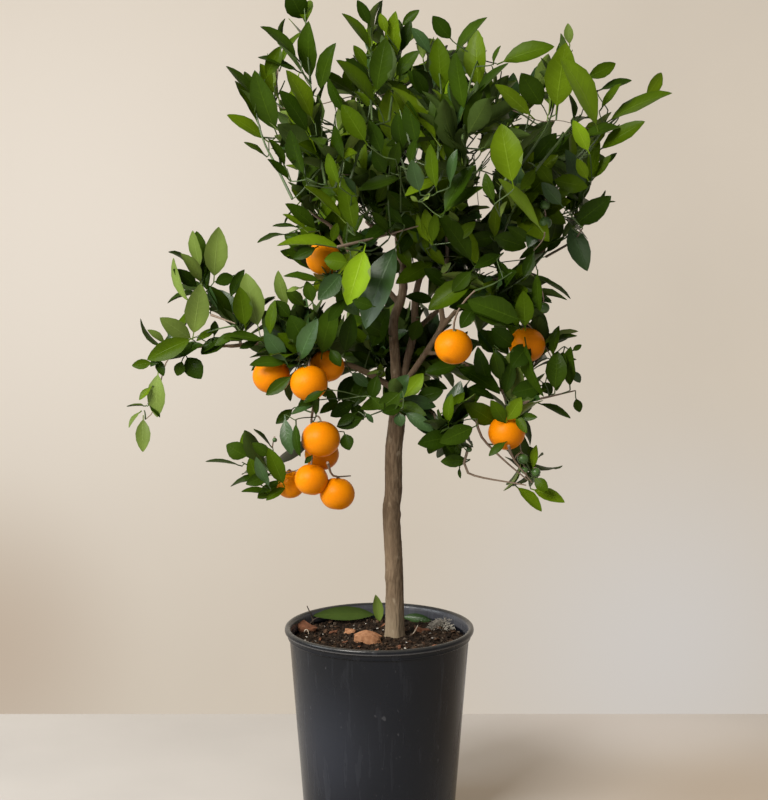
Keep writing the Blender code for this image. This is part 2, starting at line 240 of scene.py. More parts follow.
def onPlane(points):
    # the reverse: where points show on the middle plane, as (x, z)
    points = np.asarray(points, float)
    share = view["distance"] / (points[..., 1] + view["distance"])
    across = eye[0] + (points[..., 0] - eye[0]) * share
    height = eye[2] + (points[..., 2] - eye[2]) * share
    return np.stack([across, height], -1)


addCamera()
print("camera set")

# Materials: nodes with their inputs wired, and three groups of them that give masks


def feed(tree, socket, value):
    # an input takes a value or another node's output
    if isinstance(value, bpy.types.NodeSocket):
        tree.links.new(value, socket)
    else:
        socket.default_value = value


def addNode(tree, kind, inputs, output=0, **settings):
    node = tree.nodes.new("ShaderNode" + kind)
    for key, value in settings.items():
        setattr(node, key, value)
    for label, value in inputs.items():
        feed(tree, node.inputs[label], value)
    return node.outputs[output]


def mathNode(tree, operation, first, second=0.5, clamp=False):
    return addNode(tree, "Math", {0: first, 1: second}, operation=operation, use_clamp=clamp)


def times(tree, mask, amount):
    return mathNode(tree, "MULTIPLY", mask, amount)


def ownPlace(tree):
    return addNode(tree, "TexCoord", {}, "Object")


def spreadBetween(tree, value, low, high, **settings):
    # 0 under low and 1 over high, or the reverse where low is the greater
    return addNode(tree, "MapRange", {"Value": value, "From Min": low, "From Max": high}, **settings)


def nodeGroup(name, inputs, outputs, fill):
    # fill makes the group's masks from its inputs, one for each of its outputs
    group = bpy.data.node_groups.new(name, "ShaderNodeTree")
    for label, value in inputs.items():
        socket = group.interface.new_socket(label, in_out="INPUT", socket_type="NodeSocketFloat")
        socket.default_value = value
    for label in outputs:
        group.interface.new_socket(label, in_out="OUTPUT", socket_type="NodeSocketFloat")
    given = group.nodes.new("NodeGroupInput")
    result = group.nodes.new("NodeGroupOutput")
    for label, mask in zip(outputs, fill(group, given.outputs)):
        group.links.new(mask, result.inputs[label])


def mottleMask(group, given):
    # noise, stretched along the height where Stretch is under 1
    squeeze = addNode(group, "CombineXYZ", {0: 1.0, 1: 1.0, 2: given["Stretch"]})
    scaled = addNode(group, "VectorMath", {0: ownPlace(group), 1: squeeze}, operation="MULTIPLY")
    pattern = {"Vector": scaled, "Scale": given["Scale"], "Detail": given["Detail"]}
    return [spreadBetween(group, addNode(group, "TexNoise", pattern, "Fac"), given["Low"], given["High"])]


def ribMasks(group, given):
    # the line down the middle of a leaf, side veins slanting forward from it, and its outer edges and tip
    def work(operation, first, second=0.5, clamp=False):
        return mathNode(group, operation, first, second, clamp)

    own = addNode(group, "UVMap", {}, uv_map="leafMap")
    along = addNode(group, "SeparateXYZ", {0: own}, 0)
    sideways = addNode(group, "SeparateXYZ", {0: own}, 1)
    across = work("MULTIPLY", work("ABSOLUTE", work("SUBTRACT", sideways, 0.5)), 2.0)
    width = work("MULTIPLY", given["Width"], work("SUBTRACT", 1.2, along))
    slant = work("SUBTRACT", along, work("MULTIPLY", across, 0.16))
    turns = work("MULTIPLY", work("MULTIPLY", slant, given["Pairs"]), math.tau)
    vein = work("POWER", work("MAXIMUM", work("COSINE", turns), 0.0), 5.0)
    return [
        work("SUBTRACT", 1.0, work("DIVIDE", across, width), clamp=True),
        work("MULTIPLY", vein, work("SUBTRACT", 1.0, across, clamp=True)),
        work("MAXIMUM", work("POWER", across, 2.5), work("POWER", along, 4.0)),
    ]


def riseMask(group, given):
    # by height, from one to another
    height = addNode(group, "SeparateXYZ", {0: ownPlace(group)}, 2)
    return [spreadBetween(group, height, given["From"], given["To"])]


mottleInputs = {"Scale": 30.0, "Stretch": 1.0, "Detail": 3.0, "Low": 0.35, "High": 0.65}
nodeGroup("mottle", mottleInputs, ["Mask"], mottleMask)
nodeGroup("leafRibs", {"Width": 0.07, "Pairs": 8.0}, ["Midrib", "Veins", "Edge"], ribMasks)
nodeGroup("rise", {"From": 0.0, "To": 1.0}, ["Mask"], riseMask)


def groupMask(tree, name, output="Mask", **values):
    return addNode(tree, "Group", values, output, node_tree=bpy.data.node_groups[name])


def patchMask(tree, place, reach):
    # 1 at a place, fading to 0 at its reach
    away = addNode(tree, "VectorMath", {0: ownPlace(tree), 1: place}, "Value", operation="DISTANCE")
    return spreadBetween(tree, away, reach, 0.0, interpolation_type="SMOOTHSTEP")


def mixColours(tree, mask, first, second):
    first, second = ((*c, 1.0) if isinstance(c, tuple) else c for c in (first, second))
    return addNode(tree, "Mix", {0: mask, 6: first, 7: second}, 2, data_type="RGBA")


def layered(tree, colour, layers):
    # colours laid over the first, each where its mask says and no stronger than its amount
    for mask, amount, over in layers:
        colour = mixColours(tree, times(tree, mask, amount), colour, over)
    return colour


def shade(colour, factor):
    return tuple(min(1.0, part * factor) for part in colour)


def newMaterial(name):
    material = bpy.data.materials.new(name)
    material.use_nodes = True
    return material, material.node_tree


def dress(material, colour, mask, roughness, gloss=0.5, bump=None, **more):
    # the mask spreads the roughness, and bump is a height, its strength and its distance
    tree = material.node_tree
    low, high = roughness
    rough = addNode(tree, "MapRange", {"Value": mask, "To Min": low, "To Max": high})
    inputs = {"Base Color": colour, "Roughness": rough, "Specular IOR Level": gloss, **more}
    if bump:
        inputs["Normal"] = addNode(tree, "Bump", dict(zip(("Height", "Strength", "Distance"), bump)))
    for label, value in inputs.items():
        feed(tree, tree.nodes["Principled BSDF"].inputs[label], value)
    return material


mottledTones = {
    # name: dark and light colour, and the scale of the mottling
    "crumbDark": ((0.006, 0.004, 0.0025), (0.021, 0.013, 0.0075), 300.0),
    "crumbBrown": ((0.020, 0.011, 0.006), (0.054, 0.031, 0.017), 300.0),
    "crumbTan": ((0.050, 0.036, 0.025), (0.125, 0.095, 0.068), 300.0),
    "chipOrange": ((0.250, 0.110, 0.050), (0.450, 0.230, 0.120), 160.0),
    "chipRed": ((0.085, 0.034, 0.018), (0.200, 0.085, 0.045), 160.0),
    "chipBrown": ((0.040, 0.022, 0.013), (0.110, 0.062, 0.036), 160.0),
    "whiteGrit": ((0.420, 0.390, 0.340), (0.700, 0.670, 0.610), 300.0),
    "dryStick": ((0.30, 0.24, 0.18), (0.52, 0.45, 0.36), 300.0),
    "dryStalk": ((0.030, 0.022, 0.017), (0.085, 0.065, 0.050), 300.0),
    "mossGrey": ((0.190, 0.175, 0.145), (0.420, 0.390, 0.335), 260.0),
    "greenShoot": ((0.030, 0.058, 0.010), (0.070, 0.112, 0.026), 60.0),
    "greenPeel": ((0.028, 0.070, 0.013), (0.060, 0.130, 0.022), 140.0),
}


def mottledMaterial(name, roughness=(0.95, 0.80), gloss=0.15, bump=0.4):
    # two colours in a mottle, as rough as soil where not said otherwise
    material, tree = newMaterial(name)
    dark, light, scale = mottledTones[name]
    mottle = groupMask(tree, "mottle", Scale=scale)
    raised = (mottle, bump, 0.0006) if bump else None
    return dress(material, mixColours(tree, mottle, dark, light), mottle, roughness, gloss, raised)


# Light and floor

studio = {
    "ambient": (0.80, 0.76, 0.72),
    "ambientStrength": 0.40,
    "wall": (0.340, 0.312, 0.278),
    "wallGlow": (0.375, 0.324, 0.258),  # light from windows that fall only on the wall
    "wallPatches": [  # window light and shade: place, reach, and what they do to the colour
        ((-0.85, 2.60, 0.50), 1.30, (1.20, 1.23, 1.29)),
        ((-1.06, 2.60, -0.55), 0.55, (0.83, 0.77, 0.73)),
        ((0.75, 2.60, -0.55), 0.80, (1.01, 1.09, 1.25)),
    ],
    "wallBack": 2.60,  # how far behind the pot the wall stands
    "floor": (0.411, 0.411, 0.409),
    # painted light: the floor glows a little, which lifts its shade
    "floorGlow": (0.120, 0.080, 0.040),
    # painted shade, browner to the right of the pot, and painted light, paler towards the back: place, reach,
    # and what they do to the colour
    "floorPatches": [
        ((0.42, 0.06, 0.0), 0.42, (0.90, 0.81, 0.71)),
        ((0.30, 0.40, 0.0), 0.30, (1.38, 1.38, 1.42)),
    ],
    "floorBack": 0.36,  # how far behind the pot the table ends
    "floorSize": (4.0, 3.0),
    "wallSize": (12.0, 8.0),
    "aim": (0.03, 0.0, 0.5),
    "lamps": [  # name, place, size, power and colour
        ("key", (-1.5, -1.9, 2.1), 1.4, 120.0, (1.0, 0.965, 0.91)),
        ("window", (-2.1, -0.5, 1.2), 1.2, 25.0, (0.90, 0.96, 1.0)),
    ],
}


def addLight(name, place, size, power, colour):
    data = bpy.data.lights.new(name, "AREA")
    data.size = size
    data.energy = power
    data.color = colour
    lamp = bpy.data.objects.new(name, data)
    lamp.location = place
    aim = Vector(studio["aim"]) - Vector(place)
    lamp.rotation_euler = aim.to_track_quat("-Z", "Y").to_euler()
    bpy.context.scene.collection.objects.link(lamp)


def plasterMaterial(name, scale):
    material, tree = newMaterial(name + "Plaster")
    mottle = groupMask(tree, "mottle", Scale=scale, Detail=5.0)
    colours = []
    for colour in (studio[name], studio[name + "Glow"]):
        base = mixColours(tree, mottle, shade(colour, 0.965), shade(colour, 1.035))
        colours.append(layered(tree, base, [
            (patchMask(tree, place, reach), 1.0, tuple(part * change for part, change in zip(colour, tint)))
            for place, reach, tint in studio[name + "Patches"]]))
    # painted light: the second colour is given off by the wall or floor itself, not by a lamp
    glow = {"Emission Color": colours[1], "Emission Strength": 1.0}
    return dress(material, colours[0], mottle, (0.84, 0.92), **glow)


def addBackdrop(name, size, place, tilt, scale):
    deselectAll()
    bpy.ops.mesh.primitive_plane_add(size=1)
    piece = startPiece(name)
    piece.scale = (*size, 1.0)
    piece.location = place
    piece.rotation_euler = (math.radians(tilt), 0, 0)
    bakePlace(piece)
    piece.data.materials.append(plasterMaterial(name, scale))


def addStudio():
    world = bpy.data.worlds.new("studio")
    bpy.context.scene.world = world
    world.use_nodes = True
    back = world.node_tree.nodes["Background"]
    back.inputs["Color"].default_value = (*studio["ambient"], 1)
    back.inputs["Strength"].default_value = studio["ambientStrength"]
    bpy.context.scene.view_settings.view_transform = "Standard"
    for lamp in studio["lamps"]:
        addLight(*lamp)
    floorSize = studio["floorSize"]
    addBackdrop("floor", floorSize, (0, studio["floorBack"] - floorSize[1] / 2, 0), 0, 5.0)
    addBackdrop("wall", studio["wallSize"], (0, studio["wallBack"], 1.0), 90, 1.1)


addStudio()
print("light, table and wall set")

# Pot

pot = {
    "sides": 112,
    "foot": 0.080,  # radius of the wall low down
    "top": 0.095,  # and under the lip
    "bevel": 0.003,
    "collarFrom": 0.2013,
    "collar": 0.0970,
    "lipFrom": 0.2067,
    "lip": 0.100,
    "height": 0.2125,
    "wall": 0.0024,
    "floor": 0.003,
    "holes": 8,
    "holeRadius": 0.006,
    "holesAt": 0.058,
}


def potWall(height):
    share = (height - pot["bevel"]) / (pot["collarFrom"] - pot["bevel"])
    return pot["foot"] + (pot["top"] - pot["foot"]) * share


def potProfile():
    collar = pot["collar"]
    low = pot["collarFrom"]
    lip = pot["lip"]
    under = pot["lipFrom"]
    high = pot["height"]
    outside = [(pot["foot"] - pot["bevel"], 0.0), (pot["foot"] - 0.0009, 0.0009), (pot["foot"], pot["bevel"])]
    outside += [(potWall(h), h) for h in (0.03, 0.08, 0.13, 0.17, low - 0.0012)]
    outside += [(collar - 0.0004, low - 0.0003), (collar, low + 0.0006), (collar - 0.0003, low + 0.0020),
                (collar + 0.0004, under - 0.0004)]
    rolled = [(lip - 0.0012, under), (lip - 0.0003, under + 0.0006), (lip, under + 0.0018),
              (lip, high - 0.0026), (lip - 0.0005, high - 0.0011), (lip - 0.0014, high - 0.0003),
              (lip - 0.0026, high), (lip - 0.0042, high - 0.0004), (lip - 0.0056, high - 0.0014),
              (lip - 0.0068, high - 0.0032)]
    inside = [(potWall(h) - pot["wall"], h) for h in (0.2065, 0.17, 0.09, 0.012)]
    inside += [(potWall(0.006) - pot["wall"] - 0.0008, 0.006), (0.072, pot["floor"])]
    return outside + rolled + inside


def insideMask(tree):
    # 1 on the wall's inner side, under the lip
    flat = addNode(tree, "VectorMath", {0: ownPlace(tree), 1: (1, 1, 0)}, operation="MULTIPLY")
    away = addNode(tree, "VectorMath", {0: flat}, "Value", operation="LENGTH")
    inner = spreadBetween(tree, away, pot["top"] - 0.0002, pot["top"] - 0.0014)
    return times(tree, inner, groupMask(tree, "rise", From=0.1995, To=0.2013))


def potMaterial():
    material, tree = newMaterial("potPlastic")
    broad = groupMask(tree, "mottle", Scale=9.0, Stretch=0.5)
    # painted sheen: a paler blue-grey patch on the pot's left front, where a window's reflection falls
    paintedSheen = patchMask(tree, (-0.062, -0.062, 0.100), 0.105)
    scuffs = groupMask(tree, "mottle", Scale=130.0, Stretch=0.10, Detail=4.0, Low=0.56, High=0.74)
    specks = groupMask(tree, "mottle", Scale=170.0, Stretch=0.7, Detail=1.0, Low=0.75, High=0.79)
    # painted highlight: a pale line along the lower part of the lip's bead
    highlightAbove = groupMask(tree, "rise", From=0.2062, To=0.2069)
    highlightBelow = groupMask(tree, "rise", From=0.2088, To=0.2078)
    # paler towards the top of the lip
    paleLipTop = groupMask(tree, "rise", From=0.2098, To=0.2123)
    plain = mixColours(tree, broad, (0.0030, 0.0038, 0.0058), (0.0056, 0.0072, 0.0115))
    colour = layered(tree, plain, [
        (paintedSheen, 0.55, (0.028, 0.032, 0.044)),
        (scuffs, 0.30, (0.038, 0.041, 0.050)),
        (specks, 0.28, (0.12, 0.12, 0.13)),
        (times(tree, highlightAbove, highlightBelow), 0.45, (0.150, 0.145, 0.145)),
        (paleLipTop, 0.60, (0.062, 0.060, 0.053)),
        (insideMask(tree), 0.85, (0.070, 0.072, 0.082)),
    ])
    return dress(material, colour, scuffs, (0.24, 0.42), 0.27, (scuffs, 0.25, 0.0004))


def buildPot():
    piece = turnedPiece("nurseryPot", potProfile(), pot["sides"])
    for i in range(pot["holes"]):
        turn = math.tau * (i + 0.5) / pot["holes"]
        place = (pot["holesAt"] * math.cos(turn), pot["holesAt"] * math.sin(turn), 0.002)
        deselectAll()
        bpy.ops.mesh.primitive_cylinder_add(
            vertices=20, radius=pot["holeRadius"], depth=pot["floor"] * 4, location=place)
        drill = startPiece("drill")
        addModifier(piece, "BOOLEAN", operation="DIFFERENCE", solver="EXACT", object=drill)
        bpy.data.objects.remove(drill)
    finishPiece(piece, 35, [potMaterial()], ["pot"])
    print("pot", len(piece.data.polygons), "faces")


buildPot()

# Soil: a turned disc with an uneven top, crumbs and chips strewn on it

trunkFoot = (0.016, 0.010)
soil = {
    "seed": 5,
    "top": 0.1972,
    "radius": 0.0924,
    "low": 0.0065,
    "gap": 0.0006,  # between it and the pot's wall
    "sides": 180,
    "rings": 44,
    "heap": (0.0022, 0.022),  # height and reach, round the trunk
    "rough": [(60, 1.7, 0.0011), (170, 4.1, 0.0010), (420, 8.3, 0.0007)],  # how fine, which noise, how high
    "bare": 0.0135,  # nothing lies this close to the trunk's middle
    "crumbs": (2300, 0.0900),  # how many, and how far out they lie
    "crumbSize": (0.00088, 0.00272),
    "chips": (34, 0.0840),
    "whiteBits": (22, 0.0860),
}
bigChips = [
    # x, y, length, width, thickness, turn in degrees, colour slot
    (-0.012, -0.010, 0.027, 0.019, 0.010, -14, 0), (-0.080, 0.034, 0.026, 0.014, 0.009, -20, 1),
    (-0.0315, 0.022, 0.011, 0.008, 0.004, -30, 0), (0.046, 0.030, 0.016, 0.008, 0.004, 15, 1),
    (-0.050, -0.050, 0.012, 0.006, 0.003, 15, 1),
]
litterLeaves = [
    # foot, tip, width, tone: fallen leaves at the back, and a small one standing by the trunk
    ((-0.007, 0.079, 0.2035), (-0.073, 0.058, 0.2085), 0.0165, "dull"),
    ((0.027, 0.078, 0.2010), (0.057, 0.070, 0.1990), 0.0115, "sheen"),
    ((0.000, 0.068, 0.1985), (-0.004, 0.068, 0.2290), 0.0120, "pale"),
]
paleSticks = [
    # points along it and its radius at the foot
    ([(0.034, 0.010, 0.1975), (0.038, 0.016, 0.2020), (0.0415, 0.020, 0.2075)], 0.0007),
    ([(-0.0800, 0.019, 0.2005), (-0.0790, 0.018, 0.2025), (-0.0765, 0.0165, 0.2025),
      (-0.0755, 0.015, 0.1990)], 0.0009),
]
darkStalks = [
    ([(-0.072, 0.056, 0.1980), (-0.0735, 0.056, 0.2060), (-0.079, 0.057, 0.2190)], 0.0010),
    ([(-0.076, 0.052, 0.2000), (-0.070, 0.054, 0.2055), (-0.066, 0.055, 0.2065)], 0.0008),
]
moss = {
    "place": (0.071, 0.048),
    "half": (0.0170, 0.0130),
    "height": 0.0095,
    "reach": 0.0885,  # of the pot's inside
    "fibres": 420,
    "radius": 0.00028,
}


def fromTrunk(x, y):
    return math.hypot(x - trunkFoot[0], y - trunkFoot[1])


def soilHeight(x, y):
    # a low crumbly surface, heaped a little round the trunk
    heap, reach = soil["heap"]
    height = heap * math.exp(-(fromTrunk(x, y) / reach) ** 2)
    for fineness, layer, rise in soil["rough"]:
        height += noise.noise(Vector((x * fineness, y * fineness, layer))) * rise
    return height


def soilMaterial():
    material, tree = newMaterial("pottingSoil")
    broad = groupMask(tree, "mottle", Scale=45.0, Detail=4.0)
    fine = groupMask(tree, "mottle", Scale=380.0, Low=0.42, High=0.6)
    base = mixColours(tree, broad, (0.0075, 0.0048, 0.0030), (0.024, 0.014, 0.008))
    grainy = layered(tree, base, [(fine, 0.5, (0.048, 0.030, 0.017))])
    return dress(material, grainy, fine, (0.97, 0.86), 0.15, (fine, 0.6, 0.0008))


def buildSoil():
    radius, top, low = soil["radius"], soil["top"], soil["low"]
    foot = potWall(low) - pot["wall"] - soil["gap"]
    profile = [(foot, low), (radius - soil["gap"], top - 0.004), (radius, top - 0.001)]
    profile += [(radius * (1 - k / soil["rings"]), top) for k in range(1, soil["rings"])]
    piece = turnedPiece("soilTop", profile, soil["sides"])
    for vert in piece.data.vertices:
        if vert.co.z > top - 0.0005:
            edge = min(1.0, (radius - math.hypot(vert.co.x, vert.co.y)) / 0.006)
            vert.co.z += soilHeight(vert.co.x, vert.co.y) * edge
    finishPiece(piece, 60, [soilMaterial()], ["soil"])


def strewn(draw, count, reach):
    places = []
    while len(places) < count:
        x, y = draw.uniform(-reach, reach), draw.uniform(-reach, reach)
        if math.hypot(x, y) < reach and fromTrunk(x, y) > soil["bare"]:
            places.append((x, y))
    return places


def onSoil(x, y, lift):
    return [x, y, soil["top"] + soilHeight(x, y) + lift]


def buildCrumbs(draw):
    lump, faces = shapePattern(bpy.ops.mesh.primitive_ico_sphere_add, subdivisions=1, radius=1.0)
    copies = []
    slots = []
    for x, y in strewn(draw, *soil["crumbs"]):
        size = draw.uniform(*soil["crumbSize"]) * draw.uniform(0.6, 1.0)
        uneven = lump * (1 + 0.35 * np.array([draw.uniform(-1, 1) for _ in lump])[:, None])
        shape = uneven * size * np.array([1.0, draw.uniform(0.6, 1.0), draw.uniform(0.5, 0.85)])
        turn = rotation(
            ("Z", draw.uniform(0, math.tau)), ("X", draw.uniform(-0.6, 0.6)), ("Y", draw.uniform(-0.6, 0.6)))
        copies.append(shape @ turn.T + onSoil(x, y, size * draw.uniform(-0.1, 0.5)))
        slots.append(draw.choices([0, 1, 2], [0.60, 0.31, 0.09])[0])
    materials = [mottledMaterial(name) for name in ("crumbDark", "crumbBrown", "crumbTan")]
    finishPiece(copyPattern("soilCrumbs", copies, faces, slots), 30, materials)


def buildChips(draw):
    # chips of bark are flat flakes with broken corners
    flake, faces = shapePattern(bpy.ops.mesh.primitive_cube_add, cuts=2, size=2.0)
    flake = flake * (1 - 0.16 * (np.abs(flake[:, :1]) > 0.9) * (np.abs(flake[:, 1:2]) > 0.9))
    copies = []
    slots = []

    def addChip(x, y, length, width, turn, slot, tilt, thick=0.0):
        jag = 1 + 0.22 * np.array([[draw.uniform(-1, 1) for _ in range(3)] for _ in flake])
        shape = flake * jag * np.array([length / 2, width / 2, (thick or min(0.0028, width * 0.28)) / 2])
        shape[:, 2] += 0.10 * width * np.sin(shape[:, 0] / length * 5 + draw.uniform(0, 6))
        copies.append(shape @ rotation(("Z", turn), ("Y", tilt)).T + onSoil(x, y, max(0.0022, thick * 0.4)))
        slots.append(slot)

    for x, y, length, width, thick, turn, slot in bigChips:
        addChip(x, y, length, width, math.radians(turn), slot, 0.12, thick)
    for x, y in strewn(draw, *soil["chips"]):
        length = draw.uniform(0.004, 0.010)
        addChip(x, y, length, length * draw.uniform(0.35, 0.6), draw.uniform(0, math.tau),
                draw.choices([1, 2], [0.3, 0.7])[0], draw.uniform(-0.5, 0.5))
    for x, y in strewn(draw, *soil["whiteBits"]):
        length = draw.uniform(0.0012, 0.0026)
        addChip(x, y, length, length * 0.8, draw.uniform(0, math.tau), 3, draw.uniform(-0.5, 0.5))
    materials = [mottledMaterial(name) for name in ("chipOrange", "chipRed", "chipBrown", "whiteGrit")]
    finishPiece(copyPattern("barkChips", copies, faces, slots), 40, materials)
    print("soil with", soil["crumbs"][0], "crumbs and", len(copies), "chips")


buildSoil()
soilDraw = random.Random(soil["seed"])
buildCrumbs(soilDraw)
buildChips(soilDraw)

# Trunk and limbs, on the same lines as the solids they replace

limbs = {
    # name: (radius at the foot, radius at the tip, centre line)
    "trunk": (0.0099, 0.0089, [
        (0.016, 0.01, 0.1965), (0.0163, 0.01, 0.248), (0.015, 0.0105, 0.29), (0.0126, 0.01, 0.333),
        (0.0148, 0.0095, 0.356), (0.0153, 0.01, 0.397), (0.0182, 0.01, 0.425), (0.0215, 0.01, 0.476)]),
    "leader_left": (0.0056, 0.0042, [
        (0.0185, 0.01, 0.466), (0.0165, 0.01, 0.5), (0.015, 0.01, 0.535), (0.025, 0.012, 0.569),
        (0.02, 0.014, 0.622)]),
    "leader_middle": (0.0044, 0.0032, [
        (0.024, 0.012, 0.468), (0.029, 0.015, 0.492), (0.037, 0.018, 0.526), (0.038, 0.024, 0.56),
        (0.052, 0.032, 0.612)]),
    "leader_right": (0.0034, 0.0024, [
        (0.024, 0.007, 0.467), (0.036, 0.002, 0.484), (0.055, -0.004, 0.514), (0.065, -0.006, 0.533),
        (0.064, -0.006, 0.556), (0.07, -0.008, 0.602)]),
    "bough_right_upper": (0.0027, 0.0018, [
        (0.0625, -0.006, 0.527), (0.084, -0.008, 0.552), (0.102, -0.008, 0.568), (0.138, -0.004, 0.588),
        (0.17, 0.0, 0.609)]),
    "bough_left_arm": (0.0036, 0.0026, [
        (0.018, 0.008, 0.462), (-0.006, 0.0, 0.478), (-0.03, -0.006, 0.49), (-0.056, -0.008, 0.496)]),
    "bough_left_arm_outer": (0.0026, 0.0017, [
        (-0.056, -0.008, 0.496), (-0.096, -0.006, 0.504), (-0.118, -0.004, 0.513), (-0.15, -0.002, 0.51),
        (-0.186, 0.0, 0.509), (-0.206, 0.0, 0.502)]),
    "bough_left_upper": (0.0032, 0.0024, [
        (0.021, 0.011, 0.552), (0.004, 0.014, 0.572), (-0.024, 0.02, 0.598), (-0.05, 0.024, 0.632)]),
    "bough_back_left": (0.003, 0.0022, [
        (0.016, 0.01, 0.524), (0.002, 0.036, 0.54), (-0.02, 0.066, 0.56), (-0.036, 0.09, 0.578)]),
    "bough_back_right": (0.003, 0.0022, [
        (0.036, 0.018, 0.522), (0.052, 0.044, 0.534), (0.07, 0.068, 0.548), (0.086, 0.09, 0.566)]),
    "bough_right_lower": (0.0024, 0.0016, [
        (0.048, -0.002, 0.503), (0.074, -0.008, 0.5), (0.1, -0.012, 0.484), (0.127, -0.012, 0.464)]),
    "bough_left_lower": (0.0022, 0.0016, [
        (-0.048, -0.01, 0.494), (-0.056, -0.014, 0.478), (-0.066, -0.018, 0.456), (-0.07, -0.018, 0.436)]),
    "bough_skirt": (0.0024, 0.0018, [
        (0.02, 0.01, 0.444), (0.04, 0.0, 0.446), (0.056, -0.006, 0.44)]),
}
bark = {
    "voxel": 0.00095,
    "relief": 0.0005,
    "flare": 0.0022,  # how far the trunk swells at the soil
    "flareHeight": 0.010,
    "lobes": 5,
    "knots": [(0.0215, 0.457), (0.0235, 0.330), (0.0100, 0.262)],  # across and height
    "knotHeight": 0.0012,
    "knotReach": 0.0045,
}
limbStep = 0.006  # between the points of a limb's curve
limbRoutes = []
for foot, tip, line in limbs.values():
    limbRoute = smoothRoute(line, limbStep)
    limbRoutes.append((limbRoute, np.linspace(foot, tip, len(limbRoute))))


def barkMaterial():
    material, tree = newMaterial("bark")
    broad = groupMask(tree, "mottle", Scale=34.0, Stretch=0.35, Detail=4.0)
    fine = groupMask(tree, "mottle", Scale=420.0, Stretch=0.22, Low=0.4, High=0.62)
    spots = groupMask(tree, "mottle", Scale=150.0, Stretch=0.6, Low=0.62, High=0.72)
    low = groupMask(tree, "rise", From=0.245, To=0.215)
    base = mixColours(tree, broad, (0.068, 0.045, 0.026), (0.164, 0.112, 0.068))
    colour = layered(tree, base, [
        (fine, 0.5, (0.205, 0.145, 0.088)),
        (spots, 0.5, (0.300, 0.240, 0.165)),
        (low, 0.35, (0.330, 0.270, 0.180)),
    ])
    return dress(material, colour, fine, (0.92, 0.76), 0.25, (fine, 0.5, 0.0006))


def barkRelief(place):
    # slow swells and fine streaks and cracks along the stem, a few knots and the flared foot
    x, y, z = place
    streak = noise.noise(Vector((x * 520, y * 520, z * 90)))
    crack = noise.noise(Vector((x * 900 + 7, y * 900, z * 210)))
    swell = noise.noise(Vector((x * 60, y * 60, z * 34 + 3)))
    height = bark["relief"] * (0.55 * streak + 0.35 * crack + 0.9 * swell)
    for knotX, knotZ in bark["knots"]:
        apart = math.hypot(x - knotX, z - knotZ) + max(0.0, y - trunkFoot[1])
        height += bark["knotHeight"] * math.exp(-(apart / bark["knotReach"]) ** 2)
    rise = (z - soil["top"]) / bark["flareHeight"]
    if rise < 4:
        turn = math.atan2(y - trunkFoot[1], x - trunkFoot[0])
        height += bark["flare"] * math.exp(-max(rise, 0.0)) * (1 + 0.3 * math.cos(bark["lobes"] * turn + 0.6))
    return height


def buildWood():
    # round curves along the limbs are made one skin by a voxel remesh, then given the bark's relief
    deselectAll()
    bpy.ops.curve.primitive_nurbs_path_add()
    wood = startPiece("wood")
    curve = wood.data
    curve.splines.clear()
    curve.bevel_depth = 1.0
    curve.bevel_resolution = 4
    curve.use_fill_caps = True
    for route, radii in limbRoutes:
        spline = curve.splines.new("POLY")
        spline.points.add(len(route) - 1)
        for point, place, radius in zip(spline.points, route, radii):
            point.co = (*place, 1.0)
            point.radius = radius
    makeActive(wood)
    bpy.ops.object.convert(target="MESH")
    wood = startPiece("wood")
    bakePlace(wood)
    addModifier(wood, "REMESH", mode="VOXEL", voxel_size=bark["voxel"], adaptivity=0.0)
    addModifier(wood, "SMOOTH", factor=0.5, iterations=6)
    places = pointsOf(wood.data)
    normals = np.array([v.normal[:] for v in wood.data.vertices])
    moved = places + normals * np.array([barkRelief(p) for p in places])[:, None]
    moved[:, 2] = np.maximum(moved[:, 2], limbs["trunk"][2][0][2])
    wood.data.vertices.foreach_set("co", moved.astype(np.float32).ravel())
    wood.data.update()
    finishPiece(wood, 60, [barkMaterial()], list(limbs))
    print("wood", len(wood.data.polygons), "faces")


buildWood()

# Where the masses of foliage are, and where the lines of sight meet them

massNames = sorted(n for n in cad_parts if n.startswith("foliage"))
massPoints = {n: pointsOf(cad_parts[n].data) for n in massNames}
massBoxes = {n: (p.min(0), p.max(0)) for n, p in massPoints.items()}
massMiddles = {n: (p.min(0) + p.max(0)) / 4 + p.mean(0) / 2 for n, p in massPoints.items()}
massTrees = {
    n: BVHTree.FromPolygons(p.tolist(), [face.vertices[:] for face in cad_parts[n].data.polygons])
    for n, p in massPoints.items()}


def outsideBy(place, enough=0.05):
    # how far a place is outside all the masses, and 0 inside one
    least = enough
    for name in massNames:
        low, high = massBoxes[name]
        away = np.linalg.norm(np.maximum(0, np.maximum(low - place, place - high)))
        if away >= least:
            continue
        near, normal, _, far = massTrees[name].find_nearest(Vector(place))
        if near is None:
            continue
        if (Vector(place) - near).dot(normal) <= 0:
            return 0.0
        least = min(least, far)
    return least


def crownFront(x, z):
    # the depth at which the line of sight through (x, z) of the middle plane enters the crown, and the
    # mass it enters, or else the mass it passes closest to
    flat = Vector(atDepth(x, z, 0.0))
    way = (flat - Vector(eye)).normalized()
    best = None
    for name in massNames:
        hit, _, _, far = massTrees[name].ray_cast(Vector(eye), way)
        if hit and (best is None or far < best[0]):
            best = (far, hit.y, name)
    if best:
        return best[1], best[2]
    near = {name: massTrees[name].find_nearest(flat) for name in massNames}
    name = min(massNames, key=lambda n: near[n][3])
    return near[name][0].y, name


# Fruit: where each shows on the middle plane, how far behind it, and its width

